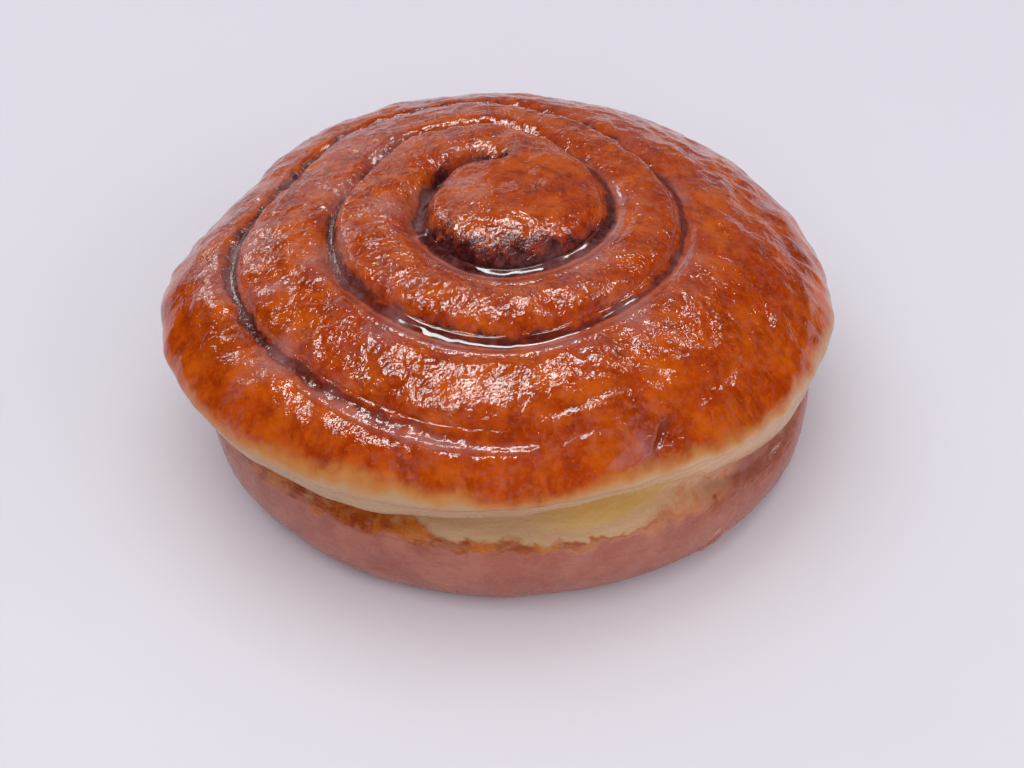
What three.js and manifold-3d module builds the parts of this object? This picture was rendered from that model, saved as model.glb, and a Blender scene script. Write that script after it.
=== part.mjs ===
/**
 * Cinnamon roll: one long strip of yeast dough wound on itself round a thin layer of cinnamon
 * filling, risen and fried until its crown domes up and spreads past its waist.
 *
 * Units are millimetres and degrees, +Z is up. The roll rests on z = 0 with the middle of its
 * base at the origin. Angles run anticlockwise from +X, seen from above.
 */
import * as THREE from 'three';
import Module from 'manifold-3d';

// ---- Driving dimensions ----------------------------------------------------------------------

// The crown: a dome that leans a little forward and to the left of the base.
const ROLL_HEIGHT = 50.5;
const CROWN_PEAK = new THREE.Vector2(-2.5, -2);
const CROWN_FULLNESS = 1.1; // how slowly the dome widens from its peak
const CROWN_SLOPE = 1.4; // how early the dome falls away from its peak

// The rim, where the crown is widest: a mean size, then the swells and flats of a hand-wound roll.
const RIM_RADIUS = 60.5;
const RIM_HEIGHT = 26;
const RIM_LOBES = [
  { waves: 1, swell: 1.5, at: 140 },
  { waves: 2, swell: 1.2, at: 30 },
  { waves: 3, swell: 0.7, at: 90 },
];
const RIM_FLATS = [
  { depth: 4.2, at: 157, width: 20 },
  { depth: 1.8, at: 318, width: 32 },
];
const RIM_TILT = { rise: 2.4, at: 210 };
const RIM_LIFT = { rise: 1.6, at: 292, width: 22 };

// Below the rim the crown turns in to the waist: how far in and how far down from the rim.
const LIP_TURN = [
  { inset: 0.4, drop: 1.6 },
  { inset: 1.5, drop: 3.0 },
  { inset: 4.0, drop: 3.9 },
];
const WAIST_DROP = 5.4;

// The lower body, from the waist to the floor: its radius at a share of the waist's height.
const LOWER_BODY = [
  { radius: 53.6, share: 1.0 },
  { radius: 55.6, share: 0.88 },
  { radius: 56.8, share: 0.72 },
  { radius: 56.8, share: 0.45 },
  { radius: 55.8, share: 0.25 },
  { radius: 53.8, share: 0.1 },
  { radius: 51.5, share: 0.025 },
  { radius: 48.5, share: 0 },
];

// The seam between the turns: its reach from the peak (0) to the rim (1) at every eighth of a
// turn, one row for each turn, starting at the back of the roll.
const SEAM_START = 90;
const SEAM_STEP = 45;
const SEAM_REACH = [
  0.225, 0.228, 0.222, 0.27, 0.335, 0.348, 0.353, 0.37,
  0.44, 0.475, 0.488, 0.53, 0.592, 0.572, 0.562, 0.555,
  0.635, 0.75, 0.785, 0.8, 0.868, 0.855,
];
const SEAM_SAMPLE = 9;

// The furrow that the seam draws in the crown: deep round the heart, shallow at the tail.
const FURROW_DEPTH_HEART = 4.8;
const FURROW_DEPTH_TAIL = 2.4;
const FURROW_HALF_WIDTH = 5.2;
const FURROW_FADE = 50; // length of the tapered ends, in degrees of turn
const FURROW_LID = 2.5;
const FURROW_SECTION = [
  [-1, 0.1], [-0.6, -0.12], [-0.28, -0.42], [0, -1], [0.28, -0.42], [0.6, -0.12], [1, 0.1],
];

// The notch at the tail, where the strip's end is tucked down to the lip.
const NOTCH_DEPTH = 2.2;
const NOTCH_HALF_WIDTH = 2.6;
const NOTCH_STATIONS = [
  { at: 301, reach: 0.87, drop: 0 },
  { at: 296, reach: 0.94, drop: 0 },
  { at: 290, reach: 0.99, drop: 0 },
  { at: 285, reach: 1, drop: 2.2 },
];

// The filling: a thin wall that follows the seam down through the dough.
const FILLING_THICKNESS = 1.6;
const FILLING_GAP = 0.3;
const FILLING_BASE = 0.5; // its lower edge, just clear of the floor
const FILLING_TOP_SHARE = 0.72; // its upper edge, as a share of the furrow's depth
const FILLING_LEAN = 0.88; // the wall draws in towards the base
const SLOT_OVERRUN = 3; // how far the slot runs past the crown and the base

const ROUND_STEPS = 84;
const CROWN_STEPS = 13;

// ---- Small helpers ---------------------------------------------------------------------------

const radians = THREE.MathUtils.degToRad;
const UP = new THREE.Vector3(0, 0, 1);

/** A bell-shaped bump round one direction: 1 at its middle, fading over its width. */
function bell(angle, middle, width) {
  const away = THREE.MathUtils.euclideanModulo(angle - middle + 180, 360) - 180;
  return Math.exp(-((away / width) ** 2));
}

/** A smooth curve through evenly spaced values, run on straight past both ends. */
function smoothCurve(values, position) {
  const last = values.length - 1;
  const left = THREE.MathUtils.clamp(Math.floor(position), 0, last - 1);
  const t = position - left;
  const [b, c] = [values[left], values[left + 1]];
  const a = left > 0 ? values[left - 1] : 2 * b - c;
  const d = left + 2 <= last ? values[left + 2] : 2 * c - b;
  const cubic = (3 * b - a - 3 * c + d) * t ** 3;
  const square = (2 * a - 5 * b + 4 * c - d) * t ** 2;
  return b + 0.5 * ((c - a) * t + square + cubic);
}

// ---- The outer form --------------------------------------------------------------------------

/** How far the rim stands out from the middle of the base. */
function rimRadius(angle) {
  let radius = RIM_RADIUS;
  for (const lobe of RIM_LOBES) {
    radius += lobe.swell * Math.cos(radians(lobe.waves * (angle - lobe.at)));
  }
  for (const flat of RIM_FLATS) {
    radius -= flat.depth * bell(angle, flat.at, flat.width);
  }
  return radius;
}

/** How high the rim stands over the floor. */
function rimHeight(angle) {
  const tilt = RIM_TILT.rise * Math.cos(radians(angle - RIM_TILT.at));
  return RIM_HEIGHT + tilt + RIM_LIFT.rise * bell(angle, RIM_LIFT.at, RIM_LIFT.width);
}

/** A point at a distance from the axis of the base, in one direction and at one height. */
function around(angle, radius, height) {
  return new THREE.Vector3(
    radius * Math.cos(radians(angle)), radius * Math.sin(radians(angle)), height,
  );
}

/** A point of the crown: reach 0 is the peak and reach 1 is the rim. */
function crownPoint(angle, reach) {
  const spread = Math.asin(Math.min(reach, 1) ** (1 / CROWN_FULLNESS));
  const rim = rimHeight(angle);
  const point = around(
    angle, rimRadius(angle) * reach, rim + (ROLL_HEIGHT - rim) * Math.cos(spread) ** CROWN_SLOPE,
  );
  point.x += CROWN_PEAK.x * (1 - reach);
  point.y += CROWN_PEAK.y * (1 - reach);
  return point;
}

/** The direction that faces out of the crown at one point. */
function crownNormal(angle, reach) {
  const [turn, stride] = [2, 0.02];
  const outer = Math.min(reach + stride, 0.995);
  const alongReach = crownPoint(angle, outer).sub(crownPoint(angle, outer - 2 * stride));
  const alongTurn = crownPoint(angle + turn, reach).sub(crownPoint(angle - turn, reach));
  return alongReach.cross(alongTurn).normalize();
}

/** One closed ring of points round the roll. */
function ring(place) {
  return Array.from({ length: ROUND_STEPS }, (_, step) => place((360 * step) / ROUND_STEPS));
}

/** The rings of the whole roll before the seam is cut, from the peak to the base. */
function bodyRings() {
  const rings = [];
  for (let step = 1; step <= CROWN_STEPS; step += 1) {
    const reach = Math.sin((Math.PI / 2) * (step / CROWN_STEPS)) ** CROWN_FULLNESS;
    rings.push(ring((angle) => crownPoint(angle, reach)));
  }
  for (const { inset, drop } of LIP_TURN) {
    rings.push(ring((angle) => around(angle, rimRadius(angle) - inset, rimHeight(angle) - drop)));
  }
  for (const { radius, share } of LOWER_BODY) {
    rings.push(ring((angle) => around(angle, radius, (rimHeight(angle) - WAIST_DROP) * share)));
  }
  return rings;
}

// ---- The seam --------------------------------------------------------------------------------

const SEAM_END = SEAM_START + SEAM_STEP * (SEAM_REACH.length - 1);

/** The reach of the seam at one turn angle, counted on through all its turns. */
function seamReach(turn) {
  return smoothCurve(SEAM_REACH, (turn - SEAM_START) / SEAM_STEP);
}

/** How deep the furrow is at one turn angle. */
function furrowDepth(turn) {
  const share = (turn - SEAM_START) / (SEAM_END - SEAM_START);
  return THREE.MathUtils.lerp(FURROW_DEPTH_HEART, FURROW_DEPTH_TAIL, share);
}

/** 0 at the furrow's ends, rising to 1 where the tapers stop. */
function furrowFade(turn) {
  const inside = Math.min(turn - SEAM_START, SEAM_END - turn) / FURROW_FADE;
  return THREE.MathUtils.smoothstep(inside, -0.25, 1);
}

/** The turn angles at which the seam is sampled, with some run at both ends. */
function seamTurns(overrun) {
  const [first, last] = [SEAM_START - overrun, SEAM_END + overrun];
  const count = Math.round((last - first) / SEAM_SAMPLE);
  return Array.from({ length: count + 1 }, (_, step) => first + ((last - first) * step) / count);
}

/** The furrow's section at one turn angle, closed over the crown by a lid. */
function furrowRing(turn) {
  const reach = seamReach(turn);
  const middle = crownPoint(turn, reach);
  const ahead = crownPoint(turn + 1, seamReach(turn + 1)).sub(middle);
  const normal = crownNormal(turn, reach);
  const outward = ahead.cross(normal).normalize();
  const fade = furrowFade(turn);
  const halfWidth = FURROW_HALF_WIDTH * (0.45 + 0.55 * fade);
  const depth = furrowDepth(turn) * (0.12 + 0.88 * fade);
  const at = (side, rise) => middle.clone().addScaledVector(outward, side).addScaledVector(normal, rise);
  const cut = FURROW_SECTION.map(([side, rise]) => at(side * halfWidth, rise * depth));
  return [...cut, at(halfWidth, FURROW_LID), at(-halfWidth, FURROW_LID)];
}

/** A furrow's end point, just above the crown. */
function furrowTip(turn, overrun) {
  const tip = turn + overrun;
  return crownPoint(tip, seamReach(tip)).addScaledVector(crownNormal(tip, seamReach(tip)), 1);
}

/** The section of an upright wall along the seam, between two heights. */
function wallRing(turn, thickness, bottom, topRise) {
  const top = crownPoint(turn, seamReach(turn));
  const foot = new THREE.Vector3(top.x * FILLING_LEAN, top.y * FILLING_LEAN, 0);
  const climb = top.clone().sub(foot).divideScalar(top.z);
  const ahead = crownPoint(turn + 1, seamReach(turn + 1)).sub(top).setZ(0);
  const outward = ahead.cross(UP).setLength(thickness / 2);
  const low = foot.clone().addScaledVector(climb, bottom);
  const high = foot.clone().addScaledVector(climb, top.z + topRise);
  return [
    low.clone().sub(outward), low.clone().add(outward),
    high.clone().add(outward), high.clone().sub(outward),
  ];
}

/** The notch's section at one station down the side of the crown. */
function notchRing({ at, reach, drop }, index, stations) {
  const middle = crownPoint(at, reach).addScaledVector(UP, -drop);
  const share = index / (stations.length - 1);
  const facing = around(at, share, 1 - share).normalize();
  const sideways = UP.clone().cross(facing).add(around(at - 90, 1, 0)).setLength(NOTCH_HALF_WIDTH);
  const depth = NOTCH_DEPTH * (0.55 + 0.45 * Math.sin(Math.PI * share));
  const place = (side, rise) => middle.clone().addScaledVector(sideways, side).addScaledVector(facing, rise);
  return [place(-1, 0.3), place(0, -depth), place(1, 0.3), place(1, FURROW_LID), place(-1, FURROW_LID)];
}

// ---- Solids ----------------------------------------------------------------------------------

/** A closed skin over a row of rings, with a point closing each end. */
function loft(rings, firstTip, lastTip) {
  const size = rings[0].length;
  const points = [...rings.flat(), firstTip, lastTip];
  const [first, last] = [points.length - 2, points.length - 1];
  const faces = [];
  for (let j = 0; j < size; j += 1) {
    const k = (j + 1) % size;
    for (let i = 0; i + 1 < rings.length; i += 1) {
      const [a, b] = [i * size + j, i * size + k];
      faces.push(a, a + size, b + size, a, b + size, b);
    }
    const end = (rings.length - 1) * size;
    faces.push(first, j, k, last, end + k, end + j);
  }
  const geometry = new THREE.BufferGeometry().setFromPoints(points);
  geometry.setIndex(signedVolume(points, faces) > 0 ? faces : faces.reverse());
  return geometry;
}

/** The volume that a skin encloses, negative when its faces point inwards. */
function signedVolume(points, faces) {
  let volume = 0;
  for (let f = 0; f < faces.length; f += 3) {
    const [a, b, c] = [points[faces[f]], points[faces[f + 1]], points[faces[f + 2]]];
    volume += a.dot(b.clone().cross(c)) / 6;
  }
  return volume;
}

/** The middle of one ring. */
function centre(points) {
  return points.reduce((sum, point) => sum.add(point), new THREE.Vector3()).divideScalar(points.length);
}

const wasm = await Module();
wasm.setup();

/** A closed geometry as a solid that can be cut. */
function toSolid(geometry) {
  return new wasm.Manifold(new wasm.Mesh({
    numProp: 3,
    vertProperties: Float32Array.from(geometry.getAttribute('position').array),
    triVerts: Uint32Array.from(geometry.getIndex().array),
  }));
}

/** A cut solid as a geometry again. */
function toGeometry(solid) {
  const { vertProperties, triVerts } = solid.getMesh();
  const geometry = new THREE.BufferGeometry();
  geometry.setAttribute('position', new THREE.BufferAttribute(vertProperties, 3));
  geometry.setIndex(new THREE.BufferAttribute(triVerts, 1));
  return geometry;
}

/** The whole roll before it is cut. */
function makeBody() {
  const base = new THREE.Vector3(0, 0, 0);
  return loft(bodyRings(), new THREE.Vector3(CROWN_PEAK.x, CROWN_PEAK.y, ROLL_HEIGHT), base);
}

/** What the furrow takes out of the crown. */
function makeFurrow() {
  const rings = seamTurns(SEAM_SAMPLE).map(furrowRing);
  const overrun = 2 * SEAM_SAMPLE;
  return loft(rings, furrowTip(SEAM_START, -overrun), furrowTip(SEAM_END, overrun));
}

/** An upright wall along the seam. */
function makeWall(overrun, thickness, bottom, topRise) {
  const rings = seamTurns(overrun).map((turn) => wallRing(turn, thickness, bottom, topRise(turn)));
  return loft(rings, centre(rings[0]), centre(rings.at(-1)));
}

/** What the tail's notch takes out of the rim. */
function makeNotch() {
  const rings = NOTCH_STATIONS.map(notchRing);
  return loft(rings, centre(rings[0]), centre(rings.at(-1)));
}

/** The wound strip of dough. */
function makeDough() {
  const slotWidth = FILLING_THICKNESS + 2 * FILLING_GAP;
  const slot = makeWall(1.5, slotWidth, -SLOT_OVERRUN, () => SLOT_OVERRUN);
  let solid = toSolid(makeBody());
  for (const tool of [makeFurrow(), makeNotch(), slot]) {
    solid = solid.subtract(toSolid(tool));
  }
  return toGeometry(solid);
}

/** The layer of cinnamon filling between the turns. */
function makeFilling() {
  const topRise = (turn) => -furrowDepth(turn) * (0.12 + 0.88 * furrowFade(turn)) * FILLING_TOP_SHARE;
  return makeWall(0, FILLING_THICKNESS, FILLING_BASE, topRise);
}

// ---- Materials -------------------------------------------------------------------------------

const crust = new THREE.MeshStandardMaterial({ color: 0xa9561f, roughness: 0.32, metalness: 0 });
const cinnamon = new THREE.MeshStandardMaterial({ color: 0x4a1f1c, roughness: 0.45, metalness: 0 });

/** One named piece of the roll. */
function piece(name, geometry, material) {
  const mesh = new THREE.Mesh(geometry, material);
  mesh.name = name;
  return mesh;
}

const group = new THREE.Group();
group.name = 'cinnamon_roll';
group.add(piece('dough', makeDough(), crust));
group.add(piece('cinnamon_filling', makeFilling(), cinnamon));

export default group;
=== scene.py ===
"""A glazed, fried cinnamon roll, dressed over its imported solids.

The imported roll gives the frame. Its two solids, the wound dough and the layer of cinnamon filling,
are each stood for by a finer piece of the same form, and the glaze that has run over them is made
here: pools along the furrow, a drip at the tail and a few dried flecks.

The form is worked out in millimetres and degrees, from the named sizes of the solids, and each mesh
is brought to metres as it is finished. The lip of its crown hangs lower than the solids' lip, and its
furrow is narrower, as glaze has settled in it. Angles run anticlockwise from +X, seen from above.
"""

import logging
import math
from dataclasses import dataclass, field
from enum import Enum
from functools import cached_property

import bmesh
import bpy
import numpy as np
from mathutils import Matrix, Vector, noise

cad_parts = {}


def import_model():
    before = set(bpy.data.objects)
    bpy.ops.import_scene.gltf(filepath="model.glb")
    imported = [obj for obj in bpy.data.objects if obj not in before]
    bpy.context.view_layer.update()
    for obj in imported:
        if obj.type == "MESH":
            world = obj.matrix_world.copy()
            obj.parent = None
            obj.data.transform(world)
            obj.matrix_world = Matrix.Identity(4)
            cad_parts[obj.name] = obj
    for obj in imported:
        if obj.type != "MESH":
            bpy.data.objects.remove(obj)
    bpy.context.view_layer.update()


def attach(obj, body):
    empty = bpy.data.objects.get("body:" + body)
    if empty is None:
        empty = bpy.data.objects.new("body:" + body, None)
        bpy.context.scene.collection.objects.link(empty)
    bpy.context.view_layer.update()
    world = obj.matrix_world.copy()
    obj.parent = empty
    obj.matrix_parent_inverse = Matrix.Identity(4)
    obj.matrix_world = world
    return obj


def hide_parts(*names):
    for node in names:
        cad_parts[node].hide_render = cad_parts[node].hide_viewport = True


Array = np.ndarray
Pair = tuple[float, float]
Triple = tuple[float, float, float]
Stations = tuple[tuple[float, ...], ...]

MM = 0.001
JOIN_DISTANCE = 1e-7  # vertices nearer than this are one, in metres
LOG = logging.getLogger("cinnamon_roll")


# ---- Small helpers ------------------------------------------------------------------------------


def wrapped(angle: Array) -> Array:
    """An angle in degrees brought to between -180 and 180."""
    return (np.asarray(angle, float) + 180.0) % 360.0 - 180.0


def bell(angle: Array, middle: float, width: float) -> Array:
    """A bump round one direction: 1 at its middle, fading over its width, in degrees."""
    return np.exp(-((wrapped(np.asarray(angle, float) - middle) / width) ** 2))


def smoothstep(value: Array, low: float, high: float) -> Array:
    """0 below low and 1 above high, with a soft climb between."""
    share = np.clip((np.asarray(value, float) - low) / (high - low), 0.0, 1.0)
    return share * share * (3.0 - 2.0 * share)


def smooth_curve(values: Array, position: Array) -> Array:
    """A smooth curve through evenly spaced values, run on straight past both ends.

    Args:
        values: One value for each station, or one row of values with a column for each position.
        position: Where to read the curve, counted in stations.

    Returns:
        The curve's value at each position.
    """
    values = np.asarray(values, float)
    position = np.asarray(position, float)
    last = len(values) - 1
    left = np.clip(np.floor(position).astype(int), 0, last - 1)
    columns = np.arange(values.shape[1]) if values.ndim == 2 else None

    def take(index: Array) -> Array:
        """The values at one station for each position."""
        safe = np.clip(index, 0, last)
        return values[safe] if columns is None else values[safe, columns]

    t = position - left
    b, c = take(left), take(left + 1)
    a = np.where(left > 0, take(left - 1), 2.0 * b - c)
    d = np.where(left + 2 <= last, take(left + 2), 2.0 * c - b)
    cubic = (3.0 * b - a - 3.0 * c + d) * t**3
    square = (2.0 * a - 5.0 * b + 4.0 * c - d) * t**2
    return b + 0.5 * ((c - a) * t + square + cubic)


@dataclass(frozen=True)
class Relief:
    """Random relief of one height and size, in mm."""

    height: float
    size: float  # the size of the largest lumps
    octaves: int  # how many sizes are laid over each other, counting the first
    seed: float  # which of the many patterns to read
    crest_slope: float = 2.4  # how thin the crests are

    def lumps(self, points: Array) -> Array:
        """Soft lumps, from about minus the height to the height."""
        shift = Vector((self.seed, 1.7 * self.seed, 31.0 - self.seed))  # a place of its own in the noise
        places = points / self.size
        values = [noise.fractal(Vector(place) + shift, 1.0, 2.0, self.octaves) for place in places]
        return self.height * np.array(values)

    def crests(self, points: Array) -> Array:
        """Relief drawn up into thin crests, from about 0 between them to the height along them."""
        away = np.abs(self.lumps(points) / self.height)
        return self.height * np.clip(1.0 - self.crest_slope * away, 0.0, 1.0) ** 2


def read_points(mesh: bpy.types.Mesh) -> Array:
    """The mesh's vertices, one row each."""
    points = np.zeros(len(mesh.vertices) * 3)
    mesh.vertices.foreach_get("co", points)
    return points.reshape(-1, 3)


def write_points(mesh: bpy.types.Mesh, points: Array) -> None:
    """Moves the mesh's vertices to points given in mm."""
    mesh.vertices.foreach_set("co", (points * MM).astype(np.float32).ravel())
    mesh.update()


def write_mask(mesh: bpy.types.Mesh, name: str, values: Array) -> None:
    """Keeps a value, or a row of three, for each vertex in a named attribute for the materials."""
    if values.ndim == 2:
        attribute = mesh.attributes.new(name, "FLOAT_VECTOR", "POINT")
        attribute.data.foreach_set("vector", values.astype(np.float32).ravel())
    else:
        attribute = mesh.attributes.new(name, "FLOAT", "POINT")
        attribute.data.foreach_set("value", values.astype(np.float32))


def finish_piece(name: str, mesh: bpy.types.Mesh, material: bpy.types.Material) -> bpy.types.Object:
    """Shades a finished mesh smooth, gives it its material and puts it in the scene.

    Args:
        name: The piece's name.
        mesh: Its mesh, in metres and in place.
        material: Its finish.

    Returns:
        The object, which stands at the origin.
    """
    mesh.name = name
    mesh.materials.clear()
    mesh.materials.append(material)
    mesh.polygons.foreach_set("use_smooth", [True] * len(mesh.polygons))
    piece = bpy.data.objects.new(name, mesh)
    bpy.context.scene.collection.objects.link(piece)
    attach(piece, "root")
    mesh.calc_loop_triangles()
    LOG.info("%s: %d triangles", name, len(mesh.loop_triangles))
    return piece


# ---- The roll's form ----------------------------------------------------------------------------


@dataclass(frozen=True)
class RollForm:
    """The outer form that every piece follows: the solids' sizes, and a lip that hangs lower."""

    height: float = 50.5
    peak: Pair = (-2.5, -2.0)
    fullness: float = 1.1
    slope: float = 1.4
    mean_rim: float = 60.5
    rim_lobes: Stations = ((1, 1.5, 140), (2, 1.2, 30), (3, 0.7, 90))  # waves, swell, at
    rim_flats: Stations = ((4.2, 157, 20), (1.8, 318, 32))  # depth, at, width
    rim_level: float = 26.0
    rim_tilt: Pair = (2.4, 210)  # rise, at
    rim_lift: Triple = (1.6, 292, 22)  # rise, at, width
    lip_turn: Stations = ((0.4, 1.6), (1.5, 3.0), (4.0, 3.9))  # inset, drop
    waist_drop: float = 5.4
    recess: Triple = (2.2, 288, 22)  # the waist's deepest stretch: depth, at, width
    recess_foot: float = 0.8  # the share of the waist's height where the recess starts
    lip_sag: Stations = (
        (2.3, 229, 12), (3.0, 246, 9), (0.5, 260, 12), (1.6, 272, 8), (2.1, 306, 17), (3.2, 322, 17),
        (4.8, 333, 14),
    )  # how far the lip hangs below the solids' lip, at, width
    lower_body: Stations = (
        (53.6, 1.0), (55.6, 0.88), (56.8, 0.72), (56.8, 0.45),
        (55.8, 0.25), (53.8, 0.1), (51.5, 0.025), (48.5, 0.0),
    )  # radius, share of the waist's height
    base_clearance: float = 0.25
    seam_start: float = 90.0
    seam_step: float = 45.0
    seam_reach: tuple[float, ...] = (
        0.225, 0.228, 0.222, 0.27, 0.335, 0.348, 0.353, 0.37,
        0.44, 0.475, 0.488, 0.53, 0.592, 0.572, 0.562, 0.555,
        0.635, 0.75, 0.785, 0.8, 0.868, 0.855,
    )  # the seam's reach from the peak (0) to the rim (1) at every eighth of a turn
    arc_samples: int = 600
    lip_rows_share: float = 0.55  # the share of the flank's rows that the lip and the waist take

    def rim_radius(self, angle: Array) -> Array:
        """How far the rim stands out from the middle of the base."""
        radius = np.full_like(np.asarray(angle, float), self.mean_rim)
        for waves, swell, at in self.rim_lobes:
            radius += swell * np.cos(np.radians(waves * (angle - at)))
        for depth, at, width in self.rim_flats:
            radius -= depth * bell(angle, at, width)
        return radius

    def rim_height(self, angle: Array) -> Array:
        """How high the rim stands over the floor."""
        rise, at = self.rim_tilt
        lift, middle, width = self.rim_lift
        tilt = rise * np.cos(np.radians(angle - at))
        return self.rim_level + tilt + lift * bell(angle, middle, width)

    @cached_property
    def crown_arc(self) -> tuple[Array, Array]:
        """Reach from the peak, and length along the crown's mean section, in mm."""
        reach = np.sin(np.linspace(0.0, math.pi / 2, self.arc_samples)) ** self.fullness
        spread = np.arcsin(np.clip(reach ** (1 / self.fullness), 0.0, 1.0))
        rise = (self.height - self.rim_level) * np.cos(spread) ** self.slope
        steps = np.hypot(np.diff(reach * self.mean_rim), np.diff(rise))
        return reach, np.concatenate([[0.0], np.cumsum(steps)])

    @property
    def crown_length(self) -> float:
        """The length of the crown's mean section from the peak to the rim."""
        return float(self.crown_arc[1][-1])

    def length_at(self, reach: Array) -> Array:
        """The length along the crown's mean section at a reach."""
        return np.interp(reach, *self.crown_arc)

    def reach_at(self, length: Array) -> Array:
        """The reach at a length along the crown's mean section."""
        return np.interp(length, self.crown_arc[1], self.crown_arc[0])

    def crown_point(self, angle: Array, reach: Array) -> Array:
        """A point of the crown: reach 0 is the peak and reach 1 is the rim."""
        spread = np.arcsin(np.clip(reach, 0.0, 1.0) ** (1 / self.fullness))
        rim = self.rim_height(angle)
        radius = self.rim_radius(angle) * reach
        return np.stack([
            radius * np.cos(np.radians(angle)) + self.peak[0] * (1 - reach),
            radius * np.sin(np.radians(angle)) + self.peak[1] * (1 - reach),
            rim + (self.height - rim) * np.cos(spread) ** self.slope,
        ], axis=-1)

    def flank_stations(self, angle: Array) -> tuple[Array, Array]:
        """The radius and the height of each station from the rim down to the floor."""
        rim, level = self.rim_radius(angle), self.rim_height(angle)
        depth, at, width = self.recess
        recess = depth * bell(angle, at, width)
        waist_drop = self.waist_drop + sum(sag * bell(angle, at, wide) for sag, at, wide in self.lip_sag)
        radii, heights = [rim], [level]
        for inset, drop in self.lip_turn:
            radii.append(rim - inset)
            heights.append(level - drop * waist_drop / self.waist_drop)
        for radius, share in self.lower_body:
            radii.append(radius - recess * smoothstep(share, self.recess_foot, 1.0))
            heights.append((level - waist_drop) * share)
        return np.array(radii), np.array(heights)

    @cached_property
    def flank_spacing(self) -> tuple[Array, Array]:
        """The share of the flank's rows, and the station that each has reached."""
        radii, heights = self.flank_stations(np.array([270.0]))
        station = np.linspace(0.0, len(radii) - 1.0, self.arc_samples)
        steps = np.hypot(
            np.diff(smooth_curve(radii[:, 0], station)), np.diff(smooth_curve(heights[:, 0], station)),
        )
        waist = len(self.lip_turn) + 1.0
        near = station[1:] <= waist + 1.0
        steps[near] *= self.lip_rows_share / steps[near].sum()
        steps[~near] *= (1.0 - self.lip_rows_share) / steps[~near].sum()
        return np.concatenate([[0.0], np.cumsum(steps)]), station

    def flank_point(self, angle: Array, share: Array) -> Array:
        """A point of the flank: share 0 is the rim and share 1 is the edge of the base."""
        station = np.interp(share, *self.flank_spacing)
        radii, heights = self.flank_stations(angle)
        radius, height = smooth_curve(radii, station), smooth_curve(heights, station)
        return np.stack([
            radius * np.cos(np.radians(angle)), radius * np.sin(np.radians(angle)), height,
        ], axis=-1)

    def place(self, angle: Array, station: Array) -> Array:
        """A point of the whole skin, before its furrows and relief.

        Args:
            angle: Its direction from the axis.
            station: 0 at the peak, 1 at the rim, 2 at the edge of the base, 3 at its middle.

        Returns:
            The point for each pair, in mm.
        """
        crown = self.crown_point(angle, self.reach_at(np.minimum(station, 1.0) * self.crown_length))
        flank = self.flank_point(angle, np.clip(station - 1.0, 0.0, 1.0))
        base = flank * np.clip(3.0 - station, 0.0, 1.0)[..., None]
        points = np.where((station <= 1.0)[..., None], crown, flank)
        points = np.where((station > 2.0)[..., None], base, points)
        points[..., 2] = np.maximum(points[..., 2], self.base_clearance)
        return points

    def facing(self, angle: Array, station: Array) -> Array:
        """The direction that faces out of the skin at a point."""
        turn, stride = 1.0, 0.012  # how far off the skin is read to each side, in degrees and stations
        inner = np.maximum(station, 2 * stride)
        along = self.place(angle, inner + stride) - self.place(angle, inner - stride)
        around = self.place(angle + turn, inner) - self.place(angle - turn, inner)
        normal = np.cross(along, around)
        return normal / np.maximum(np.linalg.norm(normal, axis=-1, keepdims=True), 1e-9)

    @property
    def seam_end(self) -> float:
        """The turn angle at which the seam ends."""
        return self.seam_start + self.seam_step * (len(self.seam_reach) - 1)

    def eighth(self, turn: Array) -> Array:
        """How many eighths of a turn the seam has run at a turn angle."""
        return (np.asarray(turn, float) - self.seam_start) / self.seam_step

    def seam_length(self, turn: Array) -> Array:
        """How far along the crown's mean section the seam lies at a turn angle, in mm."""
        spare = 0.5  # how far it may be read past its ends, in eighths of a turn
        eighth = np.clip(self.eighth(turn), -spare, len(self.seam_reach) - 1.0 + spare)
        return self.length_at(smooth_curve(np.array(self.seam_reach), eighth))


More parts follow.
